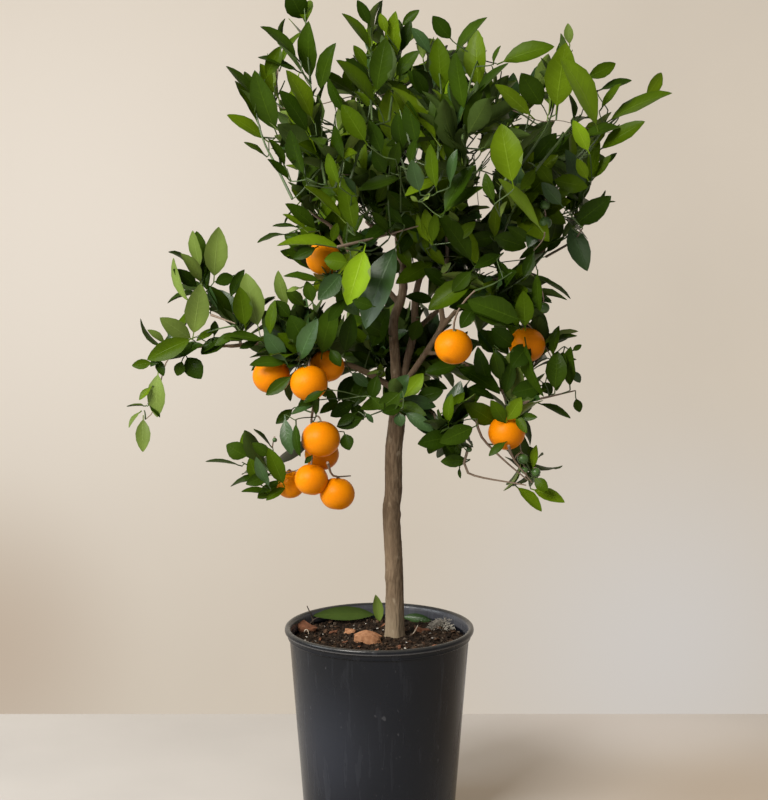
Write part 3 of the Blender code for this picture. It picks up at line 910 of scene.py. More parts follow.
fruitPlaces = [
    (-0.057, 0.600, -0.050, 0.037), (-0.112, 0.478, -0.030, 0.0395), (-0.073, 0.471, -0.052, 0.0395),
    (-0.054, 0.489, -0.018, 0.036), (-0.061, 0.412, -0.040, 0.041), (-0.060, 0.396, -0.008, 0.036),
    (-0.071, 0.369, -0.036, 0.0355), (-0.044, 0.354, -0.030, 0.037), (-0.093, 0.364, -0.006, 0.031),
    (0.077, 0.509, -0.062, 0.0395), (0.153, 0.511, -0.030, 0.0385), (0.133, 0.419, -0.030, 0.039),
    (-0.008, 0.575, 0.145, 0.036), (0.106, 0.550, 0.160, 0.036), (0.130, 0.708, 0.190, 0.034),
]
fruitShape = {
    # shares of a fruit's width, upward from its middle or across
    "stalkAt": 0.44,
    "capAt": 0.435,
    "capRadius": 0.085,
}
greenFruitPlaces = [
    (0.171, 0.637, -0.060, 0.013), (0.170, 0.655, -0.055, 0.011), (0.170, 0.549, -0.040, 0.0125),
    (0.150, 0.391, -0.030, 0.012), (0.164, 0.377, -0.024, 0.010), (0.152, 0.379, -0.028, 0.008),
    (0.094, 0.401, -0.040, 0.006), (-0.109, 0.411, -0.030, 0.005),
]


def placedFruits(places):
    return [(atDepth(x, z, y), width * (1 + y / view["distance"])) for x, z, y, width in places]


fruits = placedFruits(fruitPlaces)
greenFruits = placedFruits(greenFruitPlaces)

# The leaves that show best, by where their tip and foot are seen on the middle plane
# (tip across, tip height, foot across, foot height, width as seen, tone), in millimetres

# each tone is how the leaf looks: its own colour, with painted shade in the darker tones and a painted
# reflection in sheen
seenLeaves = [
    # top of the crown, left
    (-92, 870, -77, 843, 24, "dark"), (-120, 836, -85, 805, 11, "deep"), (-72, 840, -70, 785, 20, "deep"),
    (-45, 819, -59, 772, 17, "deep"), (-123, 805, -84, 791, 8, "dark"), (-100, 815, -114, 786, 16, "mid"),
    (-127, 791, -107, 733, 26, "deep"), (-155, 796, -129, 767, 10, "deep"),
    (-146, 781, -125, 742, 11, "mid"), (-155, 747, -118, 723, 13, "fresh"),
    (-94, 792, -69, 745, 19, "fresh"), (-101, 772, -74, 731, 18, "dark"), (-37, 849, -11, 815, 11, "mid"),
    (-22, 861, -10, 837, 12, "dark"), (16, 850, 16, 804, 17, "fresh"), (41, 851, 24, 836, 10, "deep"),
    (7, 824, -2, 772, 24, "deep"), (-43, 802, -6, 760, 15, "mid"), (-34, 803, -11, 781, 12, "dark"),
    (10, 772, 12, 721, 25, "fresh"), (-38, 757, -15, 721, 22, "mid"), (-52, 783, -35, 749, 10, "dark"),
    (9, 781, 33, 761, 10, "mid"), (41, 811, 18, 786, 14, "deep"),
    # top of the crown, right
    (54, 845, 72, 823, 17, "dark"), (33, 834, 51, 809, 12, "sheen"), (59, 824, 64, 772, 23, "mid"),
    (109, 845, 79, 811, 12, "deep"), (99, 832, 101, 775, 23, "fresh"), (77, 809, 86, 754, 18, "deep"),
    (123, 816, 116, 799, 5, "deep"), (131, 799, 100, 768, 9, "dark"), (178, 816, 127, 800, 19, "mid"),
    (191, 838, 193, 818, 10, "pale"), (189, 819, 181, 756, 33, "fresh"), (185, 805, 221, 738, 22, "young"),
    (241, 798, 213, 784, 15, "mid"), (257, 781, 226, 772, 8, "dark"), (246, 778, 227, 754, 8, "mid"),
    (298, 770, 237, 742, 15, "mid"), (271, 740, 228, 713, 16, "mid"), (246, 735, 209, 723, 11, "deep"),
    (118, 777, 153, 747, 16, "fresh"), (144, 788, 165, 757, 25, "deep"), (198, 741, 213, 711, 16, "young"),
    # left side
    (-110, 634, -86, 633, 4, "dark"), (-126, 617, -97, 625, 4, "dark"), (-106, 615, -43, 612, 13, "fresh"),
    (-89, 600, -66, 611, 12, "dark"), (-96, 657, -66, 632, 15, "deep"), (-99, 646, -76, 630, 7, "fresh"),
    (-77, 675, -39, 642, 10, "fresh"), (-36, 685, -26, 632, 21, "mid"), (-91, 731, -78, 688, 15, "dark"),
    (-53, 708, -42, 678, 12, "mid"), (-45, 736, -37, 703, 10, "dark"), (-22, 670, 20, 682, 14, "deep"),
    (33, 701, 41, 670, 18, "sheen"), (-33, 551, -16, 607, 29, "young"), (-16, 527, 16, 610, 31, "sheen"),
    (-63, 557, -40, 584, 21, "sheen"), (17, 574, 55, 596, 19, "mid"), (-105, 588, -96, 553, 14, "pale"),
    (-99, 583, -61, 577, 9, "deep"), (47, 651, 53, 619, 15, "fresh"), (58, 647, 55, 618, 12, "mid"),
    (38, 646, 51, 618, 8, "fresh"),
    # middle, and between the others
    (-17, 615, 16, 638, 13, "dark"), (-38, 618, -16, 623, 15, "dark"), (-36, 684, -24, 667, 8, "sheen"),
    (-43, 637, -48, 618, 10, "mid"), (33, 591, 19, 614, 14, "mid"), (74, 596, 64, 585, 7, "pale"),
    (60, 647, 94, 600, 21, "deep"), (99, 638, 79, 620, 13, "mid"), (32, 664, 39, 659, 5, "pale"),
    (52, 667, 46, 660, 5, "pale"), (65, 617, 98, 600, 10, "deep"), (-16, 646, -36, 613, 13, "deep"),
    (40, 627, 19, 646, 13, "dark"), (6, 654, 23, 637, 12, "dark"), (-7, 648, 9, 627, 10, "deep"),
    (46, 590, 69, 572, 14, "dark"), (75, 566, 94, 586, 16, "deep"), (27, 561, 55, 557, 12, "dark"),
    (4, 601, 20, 586, 17, "dark"), (131, 659, 125, 645, 5, "pale"), (149, 581, 158, 605, 13, "dark"),
    (98, 590, 124, 604, 13, "dark"), (133, 582, 123, 597, 6, "dark"), (-57, 599, -33, 596, 20, "mid"),
    (-75, 577, -69, 556, 14, "deep"), (-96, 568, -79, 553, 14, "deep"), (-96, 566, -82, 570, 5, "pale"),
    (-107, 557, -93, 540, 15, "dark"), (10, 549, -7, 510, 21, "dark"), (-18, 535, 7, 522, 16, "dark"),
    (-40, 488, -50, 505, 13, "dark"), (-13, 480, 2, 483, 4, "pale"), (-53, 535, -36, 557, 13, "dark"),
    (-28, 557, -7, 551, 14, "dark"), (29, 761, 38, 719, 18, "dark"), (18, 749, 24, 713, 16, "dark"),
    (-10, 741, 2, 709, 16, "dark"), (1, 848, 7, 829, 10, "fresh"), (32, 841, 23, 811, 13, "dark"),
    (34, 798, 20, 780, 9, "deep"), (34, 792, 49, 765, 13, "dark"), (102, 528, 122, 503, 18, "dark"),
    (116, 528, 139, 510, 20, "dark"), (126, 474, 119, 503, 16, "deep"), (131, 460, 138, 493, 15, "dark"),
    (84, 528, 98, 550, 16, "dark"), (-114, 702, -93, 682, 9, "dark"), (-113, 723, -97, 696, 9, "deep"),
    (-51, 436, -29, 449, 16, "dark"), (-44, 426, -25, 439, 11, "dark"), (-85, 444, -67, 456, 14, "dark"),
    (-63, 459, -66, 438, 8, "dark"), (144, 600, 178, 617, 11, "deep"), (172, 607, 188, 621, 9, "dark"),
    (158, 694, 176, 720, 14, "dark"), (237, 706, 220, 683, 10, "mid"), (-140, 364, -116, 374, 14, "deep"),
    (-128, 349, -107, 364, 14, "mid"), (-238, 488, -224, 503, 9, "dark"), (-209, 502, -195, 512, 11, "dark"),
    (-26, 816, -13, 795, 11, "mid"), (184, 462, 191, 503, 18, "deep"), (-138, 719, -117, 706, 5, "mid"),
    (13, 775, 57, 723, 13, "fresh"), (29, 791, 48, 766, 13, "dark"), (-7, 711, 6, 688, 15, "dark"),
    (20, 719, 13, 692, 13, "deep"), (38, 723, 32, 695, 10, "dark"), (132, 633, 155, 618, 13, "deep"),
    (21, 605, 34, 627, 13, "dark"), (111, 526, 134, 502, 15, "dark"), (138, 468, 121, 505, 17, "dark"),
    (-28, 446, -14, 474, 19, "dark"), (-43, 453, -28, 478, 15, "dark"), (-9, 453, -2, 478, 15, "dark"),
    (-62, 439, -43, 452, 10, "dark"), (-79, 450, -59, 462, 9, "dark"), (-16, 432, -29, 450, 13, "dark"),
    (-186, 502, -163, 518, 9, "dark"), (-171, 510, -148, 523, 9, "deep"), (-190, 515, -169, 527, 8, "mid"),
    (-119, 347, -99, 360, 9, "mid"), (-125, 355, -105, 368, 8, "deep"), (71, 465, 47, 472, 11, "dark"),
    (120, 454, 94, 465, 9, "dark"), (5, 443, -7, 455, 13, "deep"),
    # right side
    (124, 738, 136, 680, 34, "fresh"), (122, 682, 164, 634, 13, "young"), (121, 659, 119, 623, 13, "fresh"),
    (52, 717, 58, 674, 13, "mid"), (79, 712, 73, 678, 10, "sheen"), (97, 697, 68, 650, 16, "dark"),
    (107, 674, 67, 648, 12, "deep"), (108, 688, 117, 660, 12, "deep"), (87, 616, 121, 623, 17, "deep"),
    (152, 612, 119, 622, 21, "deep"), (153, 611, 163, 634, 14, "sheen"), (215, 587, 197, 631, 23, "sheen"),
    (199, 559, 162, 581, 5, "dark"), (166, 545, 163, 583, 11, "deep"), (243, 708, 232, 697, 6, "dark"),
    (238, 664, 203, 636, 23, "dark"), (225, 719, 217, 681, 13, "mid"), (202, 702, 213, 682, 12, "fresh"),
    (214, 673, 180, 680, 20, "mid"), (195, 727, 170, 703, 9, "dark"), (181, 728, 159, 701, 18, "dark"),
    (160, 698, 177, 677, 14, "mid"), (145, 670, 159, 690, 12, "mid"), (166, 678, 186, 656, 16, "sheen"),
    (45, 615, 67, 594, 12, "fresh"), (50, 547, 95, 577, 23, "mid"), (91, 557, 143, 538, 31, "deep"),
    (80, 552, 140, 531, 15, "dark"), (149, 567, 151, 531, 20, "mid"),
    # fork, and low on the right
    (34, 515, 41, 536, 16, "deep"), (47, 482, 80, 489, 15, "dark"), (127, 460, 83, 486, 19, "dark"),
    (102, 509, 113, 470, 17, "dark"), (102, 526, 120, 502, 8, "sheen"), (117, 500, 129, 479, 12, "dark"),
    (137, 487, 155, 511, 23, "dark"), (170, 455, 152, 510, 14, "deep"), (186, 531, 180, 501, 10, "deep"),
    (198, 509, 198, 469, 15, "deep"), (185, 505, 183, 466, 23, "deep"), (210, 511, 201, 505, 6, "deep"),
    (209, 471, 202, 483, 9, "sheen"), (138, 460, 168, 468, 21, "dark"), (180, 460, 170, 471, 12, "dark"),
    (200, 434, 169, 449, 7, "deep"), (209, 440, 205, 454, 10, "deep"), (89, 450, 120, 430, 23, "mid"),
    (116, 453, 131, 430, 15, "mid"), (148, 456, 134, 433, 17, "fresh"), (165, 435, 147, 436, 9, "deep"),
    (154, 418, 143, 437, 10, "mid"), (75, 460, 72, 430, 12, "mid"), (46, 481, 25, 456, 18, "young"),
    (67, 463, 39, 455, 17, "dark"), (60, 446, 26, 455, 15, "sheen"), (57, 420, 28, 439, 14, "sheen"),
    (0, 443, 21, 460, 20, "deep"), (3, 440, 22, 445, 12, "dark"), (23, 425, 20, 439, 13, "sheen"),
    (40, 407, 73, 414, 21, "dark"), (63, 408, 97, 424, 21, "deep"), (64, 388, 91, 390, 14, "deep"),
    (85, 370, 84, 381, 4, "dark"), (114, 394, 131, 408, 9, "deep"), (164, 406, 161, 382, 9, "fresh"),
    (171, 335, 146, 360, 12, "fresh"), (195, 345, 163, 358, 14, "fresh"), (177, 357, 163, 370, 13, "mid"),
    # round the fruit on the left
    (-108, 558, -113, 523, 12, "mid"), (-119, 524, -98, 495, 19, "sheen"),
    (-160, 521, -121, 515, 10, "deep"), (-135, 490, -96, 493, 12, "deep"), (-118, 458, -93, 477, 14, "deep"),
    (-64, 538, -82, 496, 19, "sheen"), (-45, 555, -59, 503, 23, "deep"), (-92, 542, -77, 511, 26, "dark"),
    (-28, 544, -35, 505, 19, "dark"), (-3, 487, -28, 503, 11, "deep"), (-10, 467, -28, 481, 12, "sheen"),
    (-36, 445, -20, 474, 25, "dark"), (-44, 446, -54, 466, 10, "deep"), (-92, 438, -67, 451, 9, "sheen"),
    (-108, 428, -91, 443, 11, "dark"), (-92, 395, -98, 432, 15, "sheen"), (-83, 393, -87, 427, 10, "dark"),
    (-45, 425, -18, 434, 15, "dark"), (-31, 400, -36, 417, 15, "dark"), (-6, 429, -14, 439, 6, "sheen"),
    (-160, 406, -139, 394, 20, "deep"), (-133, 408, -114, 395, 13, "deep"),
    (-131, 423, -114, 406, 4, "dark"), (-136, 392, -127, 368, 15, "mid"),
    (-129, 393, -116, 363, 11, "sheen"), (-116, 403, -101, 366, 18, "mid"),
    (-145, 357, -114, 354, 7, "deep"), (-182, 389, -148, 385, 4, "dark"), (-78, 386, -71, 394, 6, "dark"),
    # left arm
    (-165, 633, -170, 583, 25, "pale"), (-192, 629, -185, 593, 13, "pale"),
    (-204, 606, -184, 577, 13, "pale"), (-213, 601, -198, 557, 8, "pale"),
    (-184, 574, -192, 524, 26, "pale"), (-227, 539, -196, 518, 19, "pale"),
    (-240, 527, -223, 514, 8, "pale"), (-242, 495, -197, 516, 21, "mid"), (-220, 496, -183, 511, 12, "dark"),
    (-257, 489, -237, 492, 11, "mid"), (-224, 478, -230, 495, 10, "dark"),
    (-232, 434, -230, 479, 19, "pale"), (-247, 398, -246, 432, 16, "pale"),
    (-262, 424, -250, 440, 5, "pale"), (-250, 453, -238, 466, 7, "fresh"), (-228, 435, -239, 448, 6, "dark"),
    (-185, 475, -199, 497, 21, "dark"), (-210, 478, -205, 493, 12, "deep"),
    (-185, 501, -159, 513, 10, "dark"), (-162, 518, -124, 518, 10, "deep"),
    (-145, 507, -127, 514, 8, "dark"), (-170, 536, -171, 522, 9, "dark"), (-178, 573, -152, 536, 15, "deep"),
    (-175, 571, -168, 550, 8, "sheen"), (-169, 575, -151, 582, 14, "dark"),
    (-139, 589, -153, 562, 12, "dark"), (-138, 586, -126, 532, 27, "pale"),
    (-144, 571, -139, 532, 21, "mid"),
]

# Gaps in the crown and beyond its outline, on the middle plane, in millimetres

gaps = [
    # across, height, half width, half height
    (-13, 642, 7, 10), (10, 610, 4, 4), (37, 706, 5, 4), (-50, 740, 6, 18), (-115, 724, 5, 14),
    (-86, 686, 6, 4), (-82, 573, 12, 4), (109, 693, 6, 13), (98, 660, 7, 5), (95, 715, 4, 12),
    (133, 600, 7, 9), (111, 588, 9, 5), (119, 469, 5, 10), (146, 479, 5, 5), (64, 457, 6, 9),
    (96, 431, 6, 4), (-131, 604, 19, 14), (-186, 453, 47, 42), (-116, 823, 7, 9), (-134, 795, 8, 5),
    (-97, 782, 5, 11), (-22, 814, 7, 9), (-12, 857, 7, 6), (32, 809, 6, 10), (68, 825, 8, 6),
    (128, 801, 10, 14), (247, 758, 15, 8), (245, 742, 13, 4), (158, 744, 8, 8), (187, 749, 6, 8),
    (226, 682, 8, 13), (232, 646, 8, 8), (175, 590, 13, 9), (180, 544, 7, 10), (200, 509, 9, 8),
    (173, 427, 13, 25), (65, 386, 9, 6), (105, 410, 8, 8), (-1, 432, 7, 8), (-103, 670, 8, 11),
    (-95, 592, 13, 6), (-80, 586, 9, 5), (-210, 547, 9, 8), (-231, 528, 7, 9), (-251, 512, 8, 4),
    (-252, 468, 4, 14), (-158, 387, 19, 15), (-126, 424, 9, 8), (-145, 670, 46, 52), (-131, 621, 15, 8),
    (231, 627, 15, 13), (192, 596, 15, 10),
]
forkGap = (36, 524, 30, 42)  # the fork is seen through this one
forkBack = 0.004  # how far back it is clear, in metres

# Growth of stems, shoots and leaves

growth = {
    "seed": 41,
    "leafArea": 0.00060,  # of a mass's surface to each leaf, where it grows neither thick nor thin
    "leavesOnShoot": 6.5,
    "leafLength": (0.042, 0.062),
    "leafWidth": (0.42, 0.54),
    "spiral": math.radians(137.5),  # from each leaf to the next round a shoot
    "opening": (36, 82),  # degrees between a leaf and its shoot
    "tipOpening": 12,
    "risingFrom": 0.57,  # from this height up the shoots stand straighter, in full over a span
    "risingOver": 0.12,
    "stemRadius": 0.0017,
    "shootRadius": 0.0010,
    "tipRadius": 0.0006,
    "stalk": 0.15,  # of the leaf's length
    "spacing": {"mass": 0.0105, "between": 0.009, "seen": 0.013},  # of the leaves along a shoot
    "outside": 0.011,  # how far a leaf's tip may stand out of its mass
    # the darkening low down is partly painted shade
    "lowest": 0.35,  # leaves at this height are the darkest, and lighter over this span
    "span": 0.50,
}
crowding = {
    # how thickly the masses grow: 1 where not named, and thinly along the top of the crown
    "heart_left": 2.7, "heart_right": 3.3, "right_inner": 2.1, "left_shoulder": 1.1, "back_low_left": 2.1,
    "back_low_right": 1.5, "back_skirt": 2.3, "left_low": 2.5, "front_low_left": 1.4, "right_middle": 1.6,
    "right_outer": 0.8, "skirt": 1.5, "right_low": 1.9, "fruit_left": 2.8, "left_foot": 0.9,
    "back_left": 1.0, "back_right": 1.1, "front_left": 0.9, "front_right": 1.1, "right_shoulder": 0.8,
    "fork_front": 0.9, "arm_upper": 0.5, "arm_tip": 0.7,
}
for name in ("top_left", "top_middle", "top", "top_right", "right_dome", "right_tip"):
    crowding[name] = 0.24

# Straight green shoots and thin twigs that show, from foot to tip on the middle plane, in millimetres

leafyShoots = [
    [(-89, 661), (-106, 696), (-119, 723), (-130, 769)], [(-76, 684), (-79, 716), (-84, 756)],
    [(-55, 676), (-63, 723), (-70, 778), (-76, 861)], [(-45, 673), (-32, 716), (-30, 740)],
    [(-29, 682), (-13, 735), (-9, 756)], [(-6, 720), (-9, 785), (-7, 846)], [(10, 740), (14, 775), (16, 826)],
    [(60, 700), (63, 766), (59, 801)], [(85, 721), (92, 776), (102, 806)], [(37, 700), (21, 751)],
    [(30, 680), (13, 731)], [(62, 680), (70, 711), (74, 751)], [(134, 680), (169, 731), (181, 766)],
    [(160, 690), (205, 746)], [(180, 670), (225, 726), (233, 751)], [(195, 695), (237, 739), (272, 763)],
    [(124, 670), (144, 711), (154, 751)], [(150, 580), (174, 609), (203, 628)], [(124, 619), (144, 665)],
]
bareTwigs = [
    [(92, 399), (93, 376), (154, 363)], [(101, 433), (107, 414), (129, 391), (156, 368)],
    [(135, 405), (141, 390), (160, 366)], [(149, 450), (204, 463)], [(-54, 387), (-48, 373), (-30, 373)],
    [(-174, 542), (-149, 533)], [(-43, 612), (-1, 622), (42, 634)], [(172, 602), (199, 618), (209, 631)],
]
greenStems = [
    [(33, 645), (25, 670), (17, 701)], [(22, 648), (22, 694)], [(-34, 619), (-28, 664)],
    [(12, 627), (9, 670), (13, 711)], [(-149, 531), (-168, 527), (-188, 520)],
    [(99, 567), (118, 574), (137, 586)], [(68, 583), (79, 596)],
    [(9, 619), (-8, 608), (-41, 611), (-66, 615)],
]
sun = unit(np.array([-0.45, -0.55, 0.9]))  # the side that leaves turn to


class Wood:
    # the points of all wood so far, for new twigs to start from
    def __init__(self):
        self.places = np.zeros((0, 3))
        self.along = np.zeros((0, 3))
        self.radii = np.zeros(0)

    def add(self, route, radii):
        self.places = np.concatenate([self.places, route])
        self.along = np.concatenate([self.along, unit(np.gradient(route, axis=0))])
        self.radii = np.concatenate([self.radii, np.broadcast_to(radii, len(route))])

    def nearest(self, place, lean=0.5, way=None):
        # a start below the place is liked better than one above it, and one behind it better than one ahead
        cost = np.linalg.norm(self.places - place, axis=1)
        if way is not None:
            cost = cost + 0.5 * (cost - (place - self.places) @ way)
        cost = cost + lean * np.maximum(0, self.places[:, 2] - place[2])
        best = int(np.argmin(cost))
        return self.places[best], self.along[best], self.radii[best]


woodSoFar = Wood()
for route, radii in limbRoutes:
    woodSoFar.add(route, radii)
brownTwigs = []  # (route, radii)
greenTwigs = []
leaves = {n: [] for n in massNames}
toneSteps = {"dark": 0.12, "deep": 0.40, "mid": 0.74, "fresh": 1.10, "young": 9.0}


def keepTwig(route, radii, green):
    (greenTwigs if green else brownTwigs).append((route, radii))
    woodSoFar.add(route, radii)


def drawTone(draw, z, outer):
    # darker inside and low down, lighter at the outer tips: partly the leaves' own tones, partly painted
    # shade and painted light
    height = (z - growth["lowest"]) / growth["span"]
    light = 0.06 + 0.35 * height + 0.45 * outer + draw.uniform(-0.45, 0.45)
    return next(tone for tone, step in toneSteps.items() if light < step)


def leafTip(leaf):
    return leaf["place"] + leaf["way"] * leaf["length"]


def addLeaf(mass, draw, place, way, face, length, width, tone, under, bend=None, fold=None, seen=False):
    straight = 0.4 if seen else 1.0
    leaves[mass].append({
        "place": place, "way": unit(way), "face": face, "length": length, "width": width,
        "tone": tone, "under": under, "seen": seen,
        "bend": draw.uniform(0.15, 0.75) if bend is None else bend,
        "fold": draw.uniform(0.10, 0.42) if fold is None else fold,
        "sweep": draw.uniform(-0.22, 0.22) * straight,
        "twist": draw.uniform(-0.35, 0.35) * straight,
        "wave": draw.uniform(0.0, 0.12), "phase": draw.uniform(0, math.tau),
    })


def growShoot(mass, draw, route, count, tone, rising):
    # leaves in a spiral along the outer part of a shoot, and one at its tip
    along = unit(np.gradient(route, axis=0))
    side = unit(np.cross(along[0], up) + 1e-3)
    turn = draw.uniform(0, math.tau)
    shares = np.linspace(0.22, 0.97, count)
    for number, share in enumerate(shares):
        at = share * (len(route) - 1)
        low = min(int(at), len(route) - 2)
        place = route[low] + (route[low + 1] - route[low]) * (at - low)
        ahead = along[low]
        side = unit(side - ahead * side.dot(ahead))
        turn += growth["spiral"]
        spoke = side * math.cos(turn) + np.cross(ahead, side) * math.sin(turn)
        last = number == count - 1
        spread = growth["tipOpening"]
        if not last:
            spread = draw.uniform(*growth["opening"]) * (1.1 - 0.3 * share) * (1 - 0.42 * rising)
        opening = math.radians(spread)
        way = unit(ahead * math.cos(opening) + spoke * math.sin(opening) + up * (0.08 + 0.25 * rising))
        face = unit(ahead * math.sin(opening) - spoke * math.cos(opening))
        face = unit(face + sun * draw.uniform(0.35, 0.95))
        size = draw.uniform(*growth["leafLength"]) * (0.78 + 0.22 * math.sin(math.pi * min(1.0, share + 0.1)))
        if last:
            size *= draw.uniform(0.75, 0.95)
        size *= draw.uniform(0.84, 1.08) - 0.10 * rising
        width = size * draw.uniform(*growth["leafWidth"]) * (1 - 0.10 * rising)
        under = "pale" if tone in ("fresh", "young", "mid") and draw.random() < 0.5 else "dull"
        mine = tone if draw.random() < 0.65 else drawTone(draw, place[2], share)
        # some leaves take the sheen tone, a painted reflection, more of them low down
        if draw.random() < 0.26 - 0.18 * rising:
            mine = "sheen"
        addLeaf(mass, draw, place + way * size * growth["stalk"], way, face, size, width, mine, under)


def farApart(points, count, draw):
    # some of the points, spread evenly
    chosen = [int(draw.integers(len(points)))]
    away = np.linalg.norm(points - points[chosen[0]], axis=1)
    while len(chosen) < min(count, len(points)):
        best = int(np.argmax(away * draw.uniform(0.75, 1.0, len(away))))
        chosen.append(best)
        away = np.minimum(away, np.linalg.norm(points - points[best], axis=1))
    return points[chosen]


def growMass(name, number):
    # a stem from the nearest wood to the middle of the mass, and shoots from it to the surface
    draw = np.random.default_rng(growth["seed"] * 100 + number)
    points = massPoints[name]
    middle = massMiddles[name]
    size = points.max(0) - points.min(0)
    a, b, c = size / 2
    power = 1.6  # in the usual rule for the surface of an egg shape
    surface = 4 * math.pi * (((a * b) ** power + (a * c) ** power + (b * c) ** power) / 3) ** (1 / power)
    thick = crowding.get(name.replace("foliage_", ""), 1.0)
    rising = min(1.0, max(0.1, (middle[2] - growth["risingFrom"]) / growth["risingOver"]))
    count = max(3, round(surface * thick / growth["leafArea"] / growth["leavesOnShoot"]))
    start, startWay, startRadius = woodSoFar.nearest(middle)
    heart = middle - up * size[2] * 0.12
    stemWay = unit(unit(heart - start) * 0.7 + up * 0.5)
    stem = bendRoute(start, unit(startWay * 0.4 + unit(heart - start)), heart, stemWay, 9, 0.3)
    radius = min(startRadius * 0.85, growth["stemRadius"] * (0.7 + 6 * float(size.max())))
    stemRadii = np.linspace(radius, radius * 0.6, len(stem))
    starts = [stem]
    keepTwig(stem, stemRadii, False)
    for target in farApart(points, count, draw):
        out = target - middle
        far = float(np.linalg.norm(out))
        reach = max(0.18, 1 - 0.72 * np.mean(growth["leafLength"]) / far)
        tip = middle + out * reach * draw.uniform(0.55, 1.0)
        choices = np.concatenate(starts)
        apart = np.linalg.norm(choices - tip, axis=1)
        cost = apart + 0.5 * np.maximum(0, choices[:, 2] - tip[2] + 0.01)
        cost += draw.uniform(0, 0.012, len(cost)) + 0.03 * (apart < 0.02)
        root = choices[int(np.argmin(cost))]
        way = unit(tip - root)
        rise = draw.uniform(0.2, 0.5) + 0.8 * rising
        outWay = unit(unit(out) * (1.1 - 0.5 * rising) + up * rise + way * 0.6)
        route = bendRoute(root, unit(way + up * 0.2), tip, outWay, 8, 0.3)
        length = routeLength(route)
        green = length < 0.055 or draw.random() < 0.5
        keepTwig(route, np.linspace(growth["shootRadius"], growth["tipRadius"], len(route)), green)
        if length > 0.03:
            starts.append(route[2:6])
        onShoot = int(np.clip(round(length / growth["spacing"]["mass"]), 5, 9))
        # painted shade: leaves near a mass's middle and in crowded masses take darker tones
        outer = far / 0.09 - 0.35 * (thick > 1.4)
        growShoot(name, draw, route, onShoot, drawTone(draw, tip[2], outer), rising)


fork = np.array(limbs["trunk"][2][-1])
growOrder = sorted(massNames, key=lambda n: float(np.linalg.norm(massMiddles[n] - fork)))
for number, massName in enumerate(growOrder):
    growMass(massName, number)

between = {
    # shoots that fill the crown between the masses, in an egg shape: its middle and half sizes
    "shoots": 82,
    "middle": np.array([0.042, 0.045, 0.695]),
    "half": np.array([0.148, 0.125, 0.120]),
    "clear": (0.004, 0.050),  # how far from the masses they reach
}
leaves["between"] = []


def growBetween():
    draw = np.random.default_rng(growth["seed"] + 7)
    made = 0
    while made < between["shoots"]:
        away = draw.uniform(-1, 1, 3)
        tip = between["middle"] + between["half"] * away
        if np.linalg.norm(away) > 1 or not between["clear"][0] < outsideBy(tip) < between["clear"][1]:
            continue
        start, _, startRadius = woodSoFar.nearest(tip)
        toward = unit(tip - start)
        out = unit(away * [1.0, 1.0, 0.4] + up * 0.7)
        route = bendRoute(start, toward, tip + out * 0.012, unit(out + toward), 8, 0.2)
        thick = min(startRadius, growth["shootRadius"])
        keepTwig(route, np.linspace(thick, growth["tipRadius"], len(route)), True)
        tone = drawTone(draw, tip[2], float(np.linalg.norm(away)) - 0.5)
        count = int(np.clip(round(routeLength(route) / growth["spacing"]["between"]), 5, 8))
        growShoot("between", draw, route, count, tone, 0.5)
        made += 1


growBetween()


def behindFruit(route):
    # moves the part of a twig that would cross in front of a fruit to behind it, along the line of sight
    for place, width in fruits:
        shown = np.linalg.norm(onPlane(route) - onPlane(place), axis=1)
        share = np.clip(1.6 - shown / (width * 0.5), 0, 1) * (route[:, 1] < place[1] + width * 0.5)
        depth = route[:, 1] + (place[1] + width * 0.55 - route[:, 1]) * share
        route = eye + (route - eye) * ((depth - eye[1]) / (route[:, 1] - eye[1]))[:, None]
    return route


def joinTwig(foot, way):
    # a thin twig from the nearest wood to a foot, which it reaches going that way
    start, startWay, startRadius = woodSoFar.nearest(foot, 0.7, way)
    far = float(np.linalg.norm(foot - start))
    if far < 0.004:
        return
    toward = (foot - start) / far
    route = bendRoute(start, unit(startWay * 0.2 + toward), foot, unit(way * 0.5 + toward), 7, 0.24)
    route = behindFruit(route)
    thick = min(startRadius, 0.0009 + far * 0.006)
    keepTwig(route, np.linspace(thick, growth["tipRadius"], len(route)), far < 0.05)


def placeTwig(draw, line, leafy, green):
    # a twig that shows, close behind the crown's front, bearing leaves or bare
    spots = [crownFront(x / 1000, z / 1000) for x, z in line]
    steps = np.arange(len(line))
    depths = np.polyval(np.polyfit(steps, [y for y, _ in spots], 1), steps) + (0.040 if leafy else 0.0)
    points = [atDepth(x / 1000, z / 1000, depth) for (x, z), depth in zip(line, depths)]
    route = smoothRoute(points, 0.010)
    if len(route) < 3:
        route = np.linspace(points[0], points[-1], 4)
    joinTwig(points[0], unit(route[1] - route[0]))
    keepTwig(route, np.linspace(0.0015, 0.0007, len(route)) * (0.7 if green and not leafy else 1.0), green)
    if leafy:
        count = max(4, round(routeLength(route) / growth["spacing"]["seen"]))
        growShoot(spots[-1][1], draw, route, count, draw.choice(["deep", "mid", "mid", "fresh"]), 1.0)


twigDraw = np.random.default_rng(growth["seed"] + 1)
for lines, leafy, green in ((leafyShoots, True, True), (bareTwigs, False, False), (greenStems, False, True)):
    for line in lines:
        placeTwig(twigDraw, line, leafy, green)
print("grown leaves", sum(len(v) for v in leaves.values()))


limbPlaces = np.concatenate([route for route, _ in limbRoutes])
limbShown = onPlane(limbPlaces)


def beforeFruit(tip, foot, depth):
    # a leaf that shows across a fruit or a limb is in front of it
    for place, width in fruits:
        shown = onPlane(place)
        share = min(0.8, max(0.2, float((shown - foot).dot(tip - foot) / (tip - foot).dot(tip - foot))))
        if np.linalg.norm(foot + (tip - foot) * share - shown) < width * 0.45:
            depth = min(depth, place[1] - width * 0.5 - 0.008)
    shares = np.clip((limbShown - foot) @ (tip - foot) / (tip - foot).dot(tip - foot), 0, 1)
    crossed = np.linalg.norm(foot + shares[:, None] * (tip - foot) - limbShown, axis=1) < 0.009
    return min(depth, *(limbPlaces[crossed, 1] - 0.016), 1.0)


